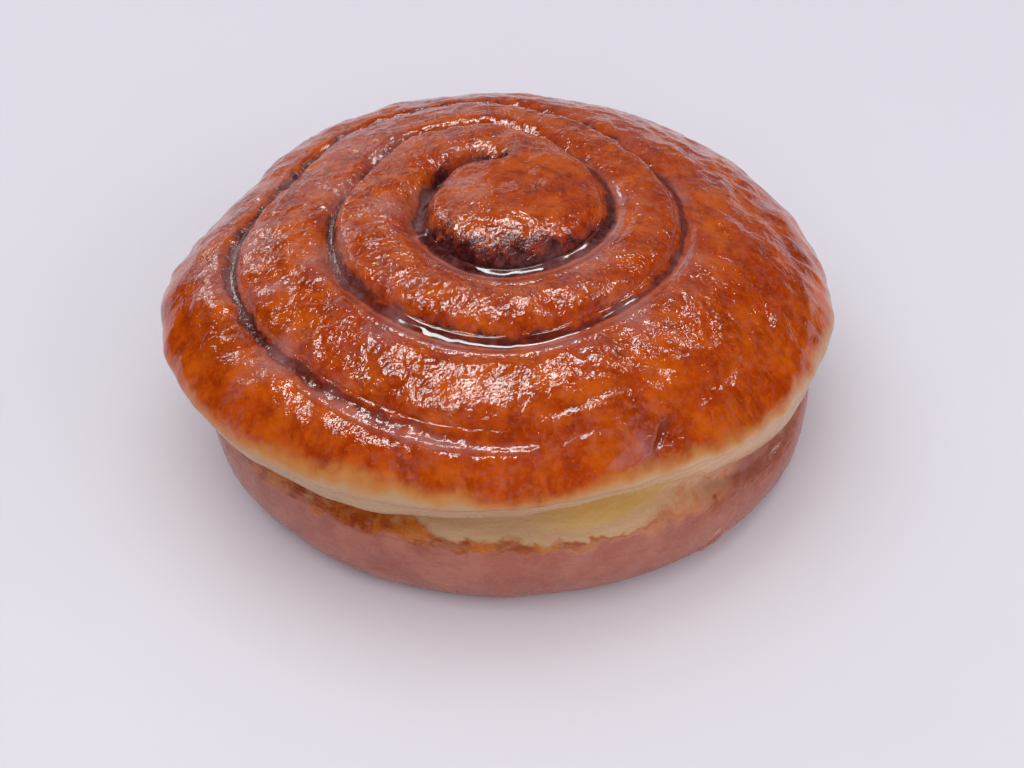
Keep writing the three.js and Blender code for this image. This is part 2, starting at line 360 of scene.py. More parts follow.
@dataclass(frozen=True)
class Furrow:
    """The furrow along the seam: a steep wall on its inner side and a long shallow outer side.

    Each table has one value for every eighth of a turn, as the form's seam has.
    """

    form: RollForm
    depth_heart: float = 4.8
    depth_tail: float = 2.4
    start_lead: float = 14.0  # how far ahead of the seam it starts to open, in degrees
    start_fade: float = 18.0
    end_fade: float = 100.0
    floor: float = 0.5  # half the width of its flat floor
    shoulder: float = 6.5  # how far out the bands beside it start to fall
    pit_share: float = 0.84  # the share of its depth that its walls take
    trough_share: float = 0.22  # the share that the bands' fall takes
    swell_share: float = 0.08  # how far the bands swell up beside it
    wall_power: float = 1.7
    bank_power: float = 1.35
    wandering: Relief = Relief(1.0, 6.0, 2, 83.0)
    least_sway: float = 0.4
    pressed_sway: float = 1.3
    pressed_from: Pair = (110.0, 50.0)  # how far before its end the strip was pressed on, in degrees
    wall_width: tuple[float, ...] = (
        1.5, 1.4, 1.5, 2.4, 3.4, 2.6, 1.5, 1.2,
        1.0, 1.0, 1.1, 1.5, 1.8, 1.6, 1.2, 1.0,
        1.0, 1.0, 1.2, 1.5, 1.6, 1.4,
    )  # how wide the inner wall is, in mm
    bank_width: tuple[float, ...] = (
        2.2, 2.0, 2.0, 2.4, 2.5, 2.4, 2.0, 1.6,
        1.3, 1.2, 1.4, 2.0, 2.3, 2.0, 1.4, 1.2,
        1.1, 1.1, 1.3, 1.8, 2.2, 2.2,
    )  # how wide the outer bank is
    darkness: tuple[float, ...] = (
        1.0, 1.0, 1.0, 1.0, 1.0, 1.0, 1.0, 0.6,
        0.3, 0.7, 0.85, 0.75, 0.85, 0.75, 0.7, 0.75,
        0.75, 0.85, 0.85, 0.75, 0.1, 0.0,
    )  # how strongly the filling shows
    settled: tuple[float, ...] = (
        1.0, 1.0, 1.0, 1.0, 1.0, 1.0, 0.95, 0.8,
        0.65, 0.62, 0.7, 0.85, 1.0, 0.95, 0.8, 0.7,
        0.65, 0.62, 0.7, 0.85, 1.0, 1.0,
    )  # the share of its depth that the glaze has left open
    stain_inside: tuple[float, ...] = (
        2.0, 1.8, 2.2, 4.8, 8.4, 5.2, 1.6, 1.1,
        0.9, 0.8, 1.1, 2.0, 2.4, 1.5, 0.9, 0.8,
        0.8, 0.8, 1.0, 1.3, 1.1, 1.0,
    )  # how far up the inner wall the filling has stained the dough, in mm
    stain_outside: tuple[float, ...] = (
        2.6, 2.0, 1.2, 0.7, 0.5, 0.6, 0.9, 0.9,
        0.8, 0.9, 0.9, 0.7, 0.5, 0.5, 0.7, 1.0,
        1.4, 1.7, 1.5, 1.1, 0.8, 0.8,
    )  # how far up the outer bank
    pooling: tuple[float, ...] = (
        0.1, 0.2, 0.6, 0.8, 1.0, 1.0, 0.8, 0.3,
        0.2, 0.4, 0.7, 0.9, 1.0, 1.0, 0.5, 0.3,
        0.2, 0.3, 0.3, 0.8, 0.9, 0.6,
    )  # how much glaze has run together in it

    def fade(self, turn: Array) -> Array:
        """1 along the furrow, falling to 0 at both of its ends."""
        opens = self.form.seam_start - self.start_lead
        start = smoothstep(turn, opens, opens + self.start_fade)
        end = smoothstep(self.form.seam_end - np.asarray(turn, float), 0.0, self.end_fade)
        return start * end

    def depth(self, turn: Array) -> Array:
        """How deep the furrow is at a turn angle."""
        run = self.form.seam_end - self.form.seam_start
        share = np.clip((turn - self.form.seam_start) / run, 0.0, 1.0)
        open_share = self.fade(turn) * self.along(self.settled, turn)
        return (self.depth_heart + (self.depth_tail - self.depth_heart) * share) * open_share

    def along(self, table: tuple[float, ...], turn: Array) -> Array:
        """A table's value at a turn angle."""
        eighth = np.clip(self.form.eighth(turn), 0.0, len(table) - 1.0)
        return smooth_curve(np.array(table), eighth)

    def rise(self, turn: Array, distance: Array) -> Array:
        """The furrow's section: 0 on the bands beside it, and minus its depth at its floor.

        Args:
            turn: The turn angle of the seam.
            distance: How far outwards of the seam, in mm; inwards is negative.

        Returns:
            The rise over the plain crown, in mm.
        """
        width = np.where(distance < 0, self.along(self.wall_width, turn), self.along(self.bank_width, turn))
        away = np.maximum(np.abs(distance) - self.floor, 0.0) / width
        power = np.where(distance < 0, self.wall_power, self.bank_power)
        section = self.pit_share * np.exp(-(away**power))
        section += self.trough_share * np.exp(-((distance / self.shoulder) ** 2)) - self.swell_share
        return -self.depth(turn) * section

    def sway(self, points: Array, turn: Array) -> Array:
        """How far the furrow wanders inwards of the seam, most where the strip's end was pressed on."""
        start, full = self.pressed_from
        pressed = smoothstep(turn, self.form.seam_end - start, self.form.seam_end - full)
        return self.wandering.lumps(points) * (self.least_sway + self.pressed_sway * pressed)

    def turns(self, angle: Array) -> list[Array]:
        """The turn angles at which the seam passes one direction."""
        first = np.asarray(angle, float) % 360.0
        return [first + 360.0 * lap for lap in range(3)]


@dataclass
class Skin:
    """The dough's surface with its furrows, creases and relief, and the masks that colour it."""

    form: RollForm
    furrow: Furrow
    creases: tuple[tuple[tuple[tuple[float, float], ...], float, float], ...] = (
        # (angle, reach) along the crease, then its depth and its half width
        (((301.5, 0.90), (300.5, 0.918), (299, 0.936), (297.5, 0.952)), 1.1, 0.9),
        (((297.5, 0.95), (301, 0.948), (305, 0.942)), 0.6, 0.7),
        (((303, 0.893), (308, 0.885), (318, 0.875), (327, 0.862)), 0.4, 1.3),
        (((276, 0.815), (281, 0.81), (286, 0.805), (293, 0.79), (300, 0.793)), 0.55, 0.9),
    )
    hazes: Stations = (
        # angle, reach, spread in mm, strength
        (204, 0.24, 3.5, 0.9), (198, 0.335, 6, 0.55), (197, 0.425, 6, 0.5), (209, 0.49, 5, 0.6),
        (150, 0.765, 6, 0.7), (143, 0.69, 7, 0.6), (60, 0.72, 13, 0.5), (20, 0.8, 10, 0.35),
        (298, 0.63, 3.5, 0.9), (312, 0.605, 4, 0.9), (328, 0.6, 4, 0.8), (342, 0.59, 4, 0.6),
        (262, 0.375, 3.5, 0.6), (284, 0.385, 4, 0.9), (303, 0.39, 4.5, 1.0), (322, 0.39, 4, 0.9),
        (184, 0.785, 3, 0.9), (203, 0.79, 3, 0.9), (220, 0.8, 3.5, 0.9), (234, 0.825, 4, 0.4),
        (184, 0.49, 3, 0.8), (204, 0.51, 3.5, 0.9), (221, 0.53, 4, 0.9), (238, 0.56, 4, 0.8),
        (175, 0.15, 6, 0.4), (185, 0.93, 6, 0.6), (240, 0.3, 5, 0.4), (225, 0.45, 7, 0.5),
        (100, 0.5, 9, 0.35), (120, 0.9, 9, 0.3), (0, 0.45, 7, 0.35), (295, 0.94, 2.8, 0.8),
    )
    cream_top: Stations = (
        (0, 1.0), (45, 0.6), (90, 1.0), (140, 0.0), (190, -1.4), (205, -0.8), (218, -0.1), (235, 1.1),
        (252, 1.9), (262, 1.4), (270, 0.2), (280, 0.2), (292, 1.2), (305, 0.8), (320, 0.5), (336, 1.2),
    )  # where the pale dough starts, over the rim
    cream_foot: Stations = (
        (0, 19), (45, 18.5), (90, 19.5), (135, 18.5), (180, 18.2), (205, 16.0), (222, 15.4), (236, 15.2),
        (252, 16.0), (272, 15.8), (295, 16.2), (306, 16.0), (318, 16.2), (338, 18.0),
    )  # where it ends, over the floor
    scorch_height: Stations = (
        (0, 1.4), (45, 0.9), (90, 0.9), (135, 1.0), (180, 2.8), (205, 5.0), (222, 6.4), (236, 6.6),
        (246, 5.8), (256, 3.4), (264, 2.6), (275, 2.2), (290, 0.8), (312, 0.8), (335, 2.0),
    )  # how far the scorched line climbs over its foot
    wound_ring: float = 25.0  # every band reads its relief round a ring of this radius, in mm
    wound_core: float = 12.5  # how far out of the middle the rings are evenly spaced
    wound_climb: float = 0.6  # how far a point's height moves its ring outwards
    spots: Stations = ((311.0, 15.0, 2.2), (321.5, 16.6, 2.0))  # angle, height and spread
    # The relief of the fried skin, and how far along the skin each kind of it goes.
    swells: Relief = Relief(0.5, 17.0, 2, 3.0)
    dents: Relief = Relief(0.42, 6.0, 2, 11.0)
    flank_calm: float = 0.7  # how much of the dents the flank loses
    folds: Relief = Relief(0.32, 3.8, 2, 23.0)
    pimples: Relief = Relief(0.2, 2.2, 2, 41.0)
    stretch_marks: Relief = Relief(0.16, 1.0, 2, 57.0)
    mark_length: float = 9.0  # the stretch marks run level round the flank
    mark_height: float = 1.6
    crown_ends: Pair = (0.99, 1.04)  # the stations where the furrow and the creases end
    flank_starts: Pair = (0.98, 1.08)
    foot_smooth: Pair = (1.8, 1.97)  # where the skin grows smooth towards the base
    wrinkles_least: float = 0.6
    wrinkles_most_at: Pair = (232, 75)  # angle and spread
    wrinkles_start: Pair = (0.18, 0.28)  # the heart's top has fewer
    wrinkles_end: Pair = (0.95, 1.03)
    smooth_front_at: Pair = (262, 85)
    smooth_front_starts: Pair = (0.84, 0.92)
    smooth_front: float = 0.9
    smooth_gain: float = 1.2  # more holds it smooth further from its middle
    # How the glaze that has run together lies on the furrow's outer bank, in mm from the seam.
    shore: Pair = (0.1, 0.9)
    pool_ends: Pair = (0.8, 2.2)
    film_ends: Pair = (0.8, 4.2)
    pool_calm: float = 0.85  # how much of the relief it smooths out
    groove_calm: float = 0.75
    groove_width: float = 1.4  # how far from the furrow's floor the relief is smoothed out, in mm
    glazed_relief: float = 0.15  # how much of the relief still shows under a thick glaze
    stain_lead: float = 1.6  # how much sooner than the furrow's depth the stain grows full
    # What the colour masks read.
    ragged: Relief = Relief(0.9, 5.0, 3, 71.0)
    cream_blend: Pair = (-3.4, 3.6)  # how softly crust turns to pale dough, in mm of height
    outer_side: Pair = (0.8, 0.92)  # the stations where the rim's colours start
    blush_at: Pair = (314, 24)  # angle and spread
    recess_at: Pair = (290, 19)
    recess_above_foot: Pair = (1.4, 3.6)
    recess_starts: Pair = (1.0, 1.15)
    veil_at: Pair = (165, 75)
    veil_base: float = 0.12  # how much of the thin milky film is left where there is least
    far_above: float = 60.0  # the mask "above_foot" in mm, where there is no foot near
    unstained: float = -1.5  # the mask "stain" is 1 at the seam, 0 at its edge, and no less than this
    crease_wander: tuple[Relief, ...] = tuple(Relief(0.5, 4.0, 2, seed) for seed in (61.0, 67.0, 73.0))
    crease_power: float = 1.5
    crease_ends: float = 0.12  # how far into its fade each end of a crease lies
    crease_fade: float = 0.7  # less keeps more of its depth towards its ends
    crease_points: int = 16  # how many points each of its stations is given
    # the mask "crack" also sets where painted shade darkens the creases
    crack_reach: float = 1.3  # the mask "crack" falls to 0 this far from a crease, in mm
    crease_flatness: Triple = (1.0, 1.0, 0.7)  # less for height, which relief changes

    def around(self, stations: Stations, angle: Array) -> Array:
        """A smooth value round the roll, through stations of an angle and a value."""
        at = np.array([s[0] for s in stations], float)
        value = np.array([s[1] for s in stations], float)
        at = np.concatenate([at[-2:] - 360.0, at, at[:2] + 360.0])
        value = np.concatenate([value[-2:], value, value[:2]])
        index = np.interp(np.asarray(angle, float) % 360.0, at, np.arange(len(at)))
        return smooth_curve(value, index)

    def crease_rise(self, points: Array) -> tuple[Array, Array]:
        """How deep the tail's creases are cut at each point, and how near it is to one, from 0 to 1."""
        total = np.zeros(len(points))
        near = np.zeros(len(points))
        for stations, depth, width in self.creases:
            angle, reach = np.array(stations, float).T
            steps = np.linspace(0.0, len(angle) - 1.0, self.crease_points * len(angle))
            line = self.form.crown_point(smooth_curve(angle, steps), smooth_curve(reach, steps))
            line += np.stack([wander.lumps(line) for wander in self.crease_wander], axis=-1)
            along = self.crease_ends + (1.0 - 2.0 * self.crease_ends) * steps / steps[-1]
            fade = np.sin(np.pi * along) ** self.crease_fade
            for middle, strength in zip(line, fade):
                away = np.linalg.norm((points - middle) * self.crease_flatness, axis=1)
                cut = depth * strength * np.exp(-((away / width) ** self.crease_power))
                total = np.minimum(total, -cut)
                near = np.maximum(near, min(1.0, depth * strength) * (1.0 - away / self.crack_reach))
        return total, np.clip(near, 0.0, 1.0)

    def haze_patches(self, points: Array) -> Array:
        """How milky the glaze has dried at each point, before its fine mottle."""
        total = np.zeros(len(points))
        for angle, reach, spread, strength in self.hazes:
            middle = self.form.crown_point(np.array(float(angle)), np.array(float(reach)))
            away = np.linalg.norm(points - middle, axis=1) / spread
            total = np.maximum(total, strength * np.exp(-(away**2)))
        return total

    def shape(self, angle: Array, station: Array, glazed: bool = False) -> tuple[Array, dict[str, Array]]:
        """The finished surface and its masks.

        Args:
            angle: The direction of each point from the axis.
            station: Where it lies from the peak (0) past the rim (1) and the floor (2).
            glazed: Whether the surface is the smooth glaze and not the dough under it.

        Returns:
            The points in mm, and the masks by name, one value for each point.
        """
        plain = self.form.place(angle, station)
        facing = self.form.facing(angle, station)
        length = np.minimum(station, 1.0) * self.form.crown_length
        on_crown = 1.0 - smoothstep(station, *self.crown_ends)
        rise = np.zeros(len(plain))
        pool = np.zeros(len(plain))
        film = np.zeros(len(plain))
        groove = np.zeros(len(plain))
        stain = np.full(len(plain), self.unstained)
        dark = np.zeros(len(plain))
        for turn in self.furrow.turns(angle):
            distance = length - self.form.seam_length(turn) + self.furrow.sway(plain, turn)
            fade = self.furrow.fade(turn) * on_crown
            rise += self.furrow.rise(turn, distance) * on_crown
            inside = 1.0 + distance / self.furrow.along(self.furrow.stain_inside, turn)
            outside = 1.0 - distance / self.furrow.along(self.furrow.stain_outside, turn)
            here = np.minimum(inside, outside)
            shown = self.furrow.along(self.furrow.darkness, turn) * np.minimum(self.stain_lead * fade, 1.0)
            dark = np.where(here > stain, shown, dark)
            stain = np.maximum(stain, here)
            groove = np.maximum(groove, np.exp(-((distance / self.groove_width) ** 2)) * fade)
            pooled = self.furrow.along(self.furrow.pooling, turn) * fade
            bank = smoothstep(distance, *self.shore)
            film = np.maximum(film, bank * (1.0 - smoothstep(distance, *self.film_ends)) * pooled)
            pool = np.maximum(pool, bank * (1.0 - smoothstep(distance, *self.pool_ends)) * pooled)
        crease, crack = self.crease_rise(plain)
        rise += crease * on_crown
        kept = (1.0 - self.pool_calm * pool) * (1.0 - self.groove_calm * groove)
        rise += self.relief(plain, angle, station) * kept * (self.glazed_relief if glazed else 1.0)
        points = plain + facing * rise[:, None]
        masks = self.colour_masks(plain, angle, station)
        masks["stain"] = stain
        masks["dark"] = dark
        masks["crack"] = crack * on_crown
        masks["haze"] = np.clip(np.maximum(masks["haze"], film), 0.0, 1.0)
        masks["wet"] = np.clip(pool, 0.0, 1.0)
        return points, masks

    def wound(self, points: Array, angle: Array) -> Array:
        """Places that are drawn together along the bands, so that what is read there runs with them."""
        turn = np.radians(angle)
        radius = np.hypot(points[:, 0], points[:, 1])
        ring = np.minimum(radius, self.wound_ring)
        outward = np.hypot(radius, self.wound_core) + self.wound_climb * points[:, 2]
        return np.stack([ring * np.cos(turn), ring * np.sin(turn), outward], axis=-1)

    def relief(self, points: Array, angle: Array, station: Array) -> Array:
        """The lumps, dimples and wrinkles of the fried skin, in mm."""
        wound = self.wound(points, angle)
        flank = smoothstep(station, *self.flank_starts)
        broad = self.swells.lumps(points) + self.dents.lumps(points) * (1.0 - self.flank_calm * flank)
        fine = self.folds.crests(wound) + self.pimples.lumps(wound)
        level = points / (self.mark_length, self.mark_length, self.mark_height)
        stretch = self.stretch_marks.lumps(level) * flank
        foot = 1.0 - smoothstep(station, *self.foot_smooth)
        return (broad + fine * self.wrinkled(angle, station) + stretch) * foot

    def wrinkled(self, angle: Array, station: Array) -> Array:
        """How much the glaze has wrinkled: most at the front left, and not down the front's rim."""
        least = self.wrinkles_least
        share = least + (1.0 - least) * bell(angle, *self.wrinkles_most_at)
        share = share * (least + (1.0 - least) * smoothstep(station, *self.wrinkles_start))
        calm = smoothstep(station, *self.smooth_front_starts) * bell(angle, *self.smooth_front_at)
        share = share * (1.0 - self.smooth_front * np.minimum(self.smooth_gain * calm, 1.0))
        return share * (1.0 - smoothstep(station, *self.wrinkles_end))

    def colour_masks(self, points: Array, angle: Array, station: Array) -> dict[str, Array]:
        """Where the skin is fried crust, pale dough, scorched line or the hazed lower body."""
        over_rim = points[:, 2] - self.form.rim_height(angle)
        top = self.around(self.cream_top, angle) + self.ragged.lumps(points)
        outside = smoothstep(station, *self.outer_side)
        cream = (1.0 - smoothstep(over_rim - top, *self.cream_blend)) * outside
        above_foot = points[:, 2] - self.around(self.cream_foot, angle) + self.far_above * (1.0 - outside)
        recess = smoothstep(above_foot, *self.recess_above_foot) * smoothstep(station, *self.recess_starts)
        spot = np.zeros(len(points))
        for at, height, spread in self.spots:
            around = np.radians(wrapped(angle - at)) * self.form.mean_rim
            away = np.hypot(around, points[:, 2] - height) / spread
            spot = np.maximum(spot, np.exp(-(away**2)) * outside)
        return {
            "spot": spot,
            "cream": cream,
            "above_foot": above_foot,
            "scorch": self.around(self.scorch_height, angle),
            "blush": bell(angle, *self.blush_at),
            "recess": recess * bell(angle, *self.recess_at),
            "haze": self.haze_patches(points),
            "veil": self.veil_base + (1.0 - self.veil_base) * bell(angle, *self.veil_at),
            "wrinkle": self.wrinkled(angle, station),
            "wound": self.wound(points, angle) * MM,
        }


# ---- Pieces -------------------------------------------------------------------------------------


@dataclass
class DoughBody:
    """The wound strip of dough, as one closed skin."""

    skin: Skin
    material: bpy.types.Material
    crown_cells: int = 210
    flank_rows: int = 44
    base_rows: int = 10
    base_reach: float = 0.97  # how near the rows of the base come to its middle
    crowding: float = 0.45  # how far the skin's rows are drawn in to the seam
    crowding_width: float = 3.4

    def laid_out(self) -> bpy.types.Mesh:
        """The skin laid out flat: the crown inside radius 1, the flank to 2 and the base to 3."""
        sheet = bmesh.new()
        bmesh.ops.create_grid(sheet, x_segments=self.crown_cells, y_segments=self.crown_cells, size=1.0)
        for vert in sheet.verts:
            x, y, _ = vert.co
            vert.co = (x * math.sqrt(1.0 - y * y / 2), y * math.sqrt(1.0 - x * x / 2), 0.0)
        rim = [edge for edge in sheet.edges if edge.is_boundary]
        rings = [1.0 + (row + 1) / self.flank_rows for row in range(self.flank_rows)]
        rings += [2.0 + self.base_reach * (row + 1) / self.base_rows for row in range(self.base_rows)]
        radius = 1.0
        for ring in rings:
            grown = bmesh.ops.extrude_edge_only(sheet, edges=rim)["geom"]
            verts = [item for item in grown if isinstance(item, bmesh.types.BMVert)]
            bmesh.ops.scale(sheet, vec=(ring / radius, ring / radius, 1.0), verts=verts)
            rim = [item for item in grown if isinstance(item, bmesh.types.BMEdge) and item.is_boundary]
            radius = ring
        bmesh.ops.holes_fill(sheet, edges=rim, sides=len(rim))
        mesh = bpy.data.meshes.new("dough_body")
        sheet.to_mesh(mesh)
        sheet.free()
        return mesh

    def crowd(self, angle: Array, station: Array) -> Array:
        """Draws the rows of the crown in to the seam, where the furrow bends most."""
        form, furrow = self.skin.form, self.skin.furrow
        length = np.minimum(station, 1.0) * form.crown_length
        moved = length.copy()
        for turn in furrow.turns(angle):
            distance = length - form.seam_length(turn)
            pull = self.crowding * np.exp(-((distance / self.crowding_width) ** 2))
            moved -= pull * distance * furrow.fade(turn) * (length < form.crown_length)
        return np.where(station < 1.0, moved / form.crown_length, station)

    def build(self) -> bpy.types.Object:
        """Wraps the laid-out skin round the form and cuts its furrows and relief."""
        mesh = self.laid_out()
        flat = read_points(mesh)
        station = np.hypot(flat[:, 0], flat[:, 1])
        angle = np.degrees(np.arctan2(flat[:, 1], flat[:, 0])) % 360.0
        station = self.crowd(angle, station)
        points, masks = self.skin.shape(angle, station)
        write_points(mesh, points)
        for name, values in masks.items():
            write_mask(mesh, name, values)
        piece = finish_piece("dough_body", mesh, self.material)
        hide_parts("dough")
        return piece


def flat_strip(name: str, sides: int, count: int) -> tuple[bpy.types.Mesh, Array, Array]:
    """A flat sheet that is wrapped into a closed strip, with one row for each station.

    Args:
        name: The mesh's name.
        sides: How many columns run round the strip.
        count: How many stations it has.

    Returns:
        The mesh, and each vertex's column and row.
    """
    sheet = bmesh.new()
    bmesh.ops.create_grid(sheet, x_segments=sides, y_segments=count - 1, size=1.0)
    mesh = bpy.data.meshes.new(name)
    sheet.to_mesh(mesh)
    sheet.free()
    flat = read_points(mesh)
    column = np.rint((flat[:, 0] + 1.0) / 2.0 * sides).astype(int)
    row = np.rint((flat[:, 1] + 1.0) / 2.0 * (count - 1)).astype(int)
    return mesh, column, row


UNDER_COLUMNS = 4  # the columns of a glaze's strip that close it underneath
UNDER_SPAN: Pair = (0.8, 0.2)  # where the first and the last of them that lie inside are


def across_strip(column: Array, top_columns: int) -> tuple[Array, Array]:
    """Where the columns of a glaze's strip lie.

    Args:
        column: The column of each vertex.
        top_columns: How many columns its upper side has.

    Returns:
        How far across the strip each vertex lies, from 0 to 1, and whether it is on the underside.
    """
    upper = np.linspace(0.0, 1.0, top_columns + 1)
    lower = np.linspace(*UNDER_SPAN, UNDER_COLUMNS - 1)
    across = np.concatenate([upper, lower, [0.0]])[column]
    return across, (column > top_columns) & (column < top_columns + UNDER_COLUMNS)


def close_strip(mesh: bpy.types.Mesh) -> None:
    """Joins a wrapped strip's two long edges, closes its ends and faces it outwards."""
    skin = bmesh.new()
    skin.from_mesh(mesh)
    bmesh.ops.remove_doubles(skin, verts=skin.verts, dist=JOIN_DISTANCE)
    ends = [edge for edge in skin.edges if edge.is_boundary]
    bmesh.ops.holes_fill(skin, edges=ends, sides=0)
    bmesh.ops.recalc_face_normals(skin, faces=skin.faces)
    skin.to_mesh(mesh)
    skin.free()


def finish_glaze(name: str, mesh: bpy.types.Mesh, masks: dict[str, Array],
                 material: bpy.types.Material) -> bpy.types.Object:
    """Closes a strip of glaze, keeps its masks and puts it in the scene.

    Args:
        name: The piece's name.
        mesh: Its open strip, in place.
        masks: The values for its material, by name.
        material: Its finish.

    Returns:
        The piece.
    """
    for mask, values in masks.items():
        write_mask(mesh, mask, values)
    close_strip(mesh)
    piece = finish_piece(name, mesh, material)
    return piece


FINE_STEPS = 4000  # how finely the seam is read to space its rows


def run_along(line: Array) -> Array:
    """How far along a line of points each of them lies, in mm."""
    return np.concatenate([[0.0], np.cumsum(np.linalg.norm(np.diff(line, axis=0), axis=1))])


def seam_turns(form: RollForm, first: float, last: float, spacing: float) -> Array:
    """Turn angles along a stretch of the seam, about evenly spaced in mm."""
    fine = np.linspace(first, last, FINE_STEPS)
    run = run_along(form.crown_point(fine, form.reach_at(form.seam_length(fine))))
    return np.interp(np.linspace(0.0, run[-1], int(run[-1] / spacing)), run, fine)


@dataclass
class CinnamonLayer:
    """The filling: a thin wall down through the dough, with a grainy crest in the furrow."""

    skin: Skin
    material: bpy.types.Material
    thickness: float = 1.6
    start_width: float = 2.9  # how wide its crest is at the heart of the roll
    start_widens: Pair = (130.0, 230.0)  # the turn angles over which the crest narrows
    lead_in: float = 8.0  # how far ahead of the seam it starts, in degrees
    lead_out: float = 12.0  # how far before the seam's end it ends
    lean: float = 0.88  # how far out its foot stands, as a share of its crest's reach
    foot: float = 0.1  # how high its foot stands over the floor
    buried: float = 1.7  # how far its crest lies below the furrow's floor where none shows
    exposed: float = 1.25  # how far it climbs where it shows most
    crest_sides: int = 8
    crest_roundness: float = 0.75
    spacing: float = 0.55
    grain: Relief = Relief(1.0, 1.6, 3, 5.0)
    grain_starts: Pair = (0.6, 1.0)  # the shares of the climb
    grain_sideways: float = 0.25
    grain_upwards: float = 0.3

    def section(self) -> Array:
        """The wall's section round from one foot to the other: side, and share of the climb."""
        crest = [(math.cos(a), math.sin(a)) for a in np.linspace(math.pi, 0.0, self.crest_sides + 1)]
        return np.array([(-1, 0, 0), (-1, 0.5, 0)] + [(x, 1, y) for x, y in crest]
                        + [(1, 0.5, 0), (1, 0, 0), (-1, 0, 0)], float)

    def build(self) -> bpy.types.Object:
        """Follows the seam with the wall's section and roughens its crest."""
        form, furrow = self.skin.form, self.skin.furrow
        turns = seam_turns(form, form.seam_start - self.lead_in, form.seam_end - self.lead_out, self.spacing)
        section = self.section()
        mesh, column, row = flat_strip("cinnamon_spiral", len(section) - 1, len(turns))
        turn = turns[row]
        side, climb, bulge = section[column].T
        reach = form.reach_at(form.seam_length(turn))
        top = form.crown_point(turn, reach)
        ahead = form.crown_point(turn + 1, form.reach_at(form.seam_length(turn + 1))) - top
        outward = np.stack([ahead[:, 1], -ahead[:, 0], np.zeros(len(turn))], axis=-1)
        outward /= np.linalg.norm(outward, axis=1, keepdims=True)
        opened = 1.0 - smoothstep(turn, *self.start_widens)
        thin = self.thickness / 2
        wide = thin + (self.start_width / 2 - thin) * opened
        sunk = furrow.depth(turn) + self.buried - self.exposed * furrow.along(furrow.darkness, turn) ** 2
        crest = top + form.facing(turn, form.length_at(reach) / form.crown_length) * -sunk[:, None]
        crest -= outward * furrow.sway(top, turn)[:, None]
        base = top * (self.lean, self.lean, 0.0) + (0.0, 0.0, self.foot)
        half = thin + (wide - thin) * climb
        points = base + (crest - base) * climb[:, None] + outward * (side * half)[:, None]
        points[:, 2] += bulge * wide * self.crest_roundness
        near_crest = smoothstep(climb, *self.grain_starts)
        grain = self.grain.lumps(points) * near_crest
        points += outward * (self.grain_sideways * grain * np.sign(side))[:, None]
        points[:, 2] += self.grain_upwards * grain * near_crest
        write_points(mesh, points)
        close_strip(mesh)
        piece = finish_piece("cinnamon_spiral", mesh, self.material)
        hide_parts("cinnamon_filling")
        return piece


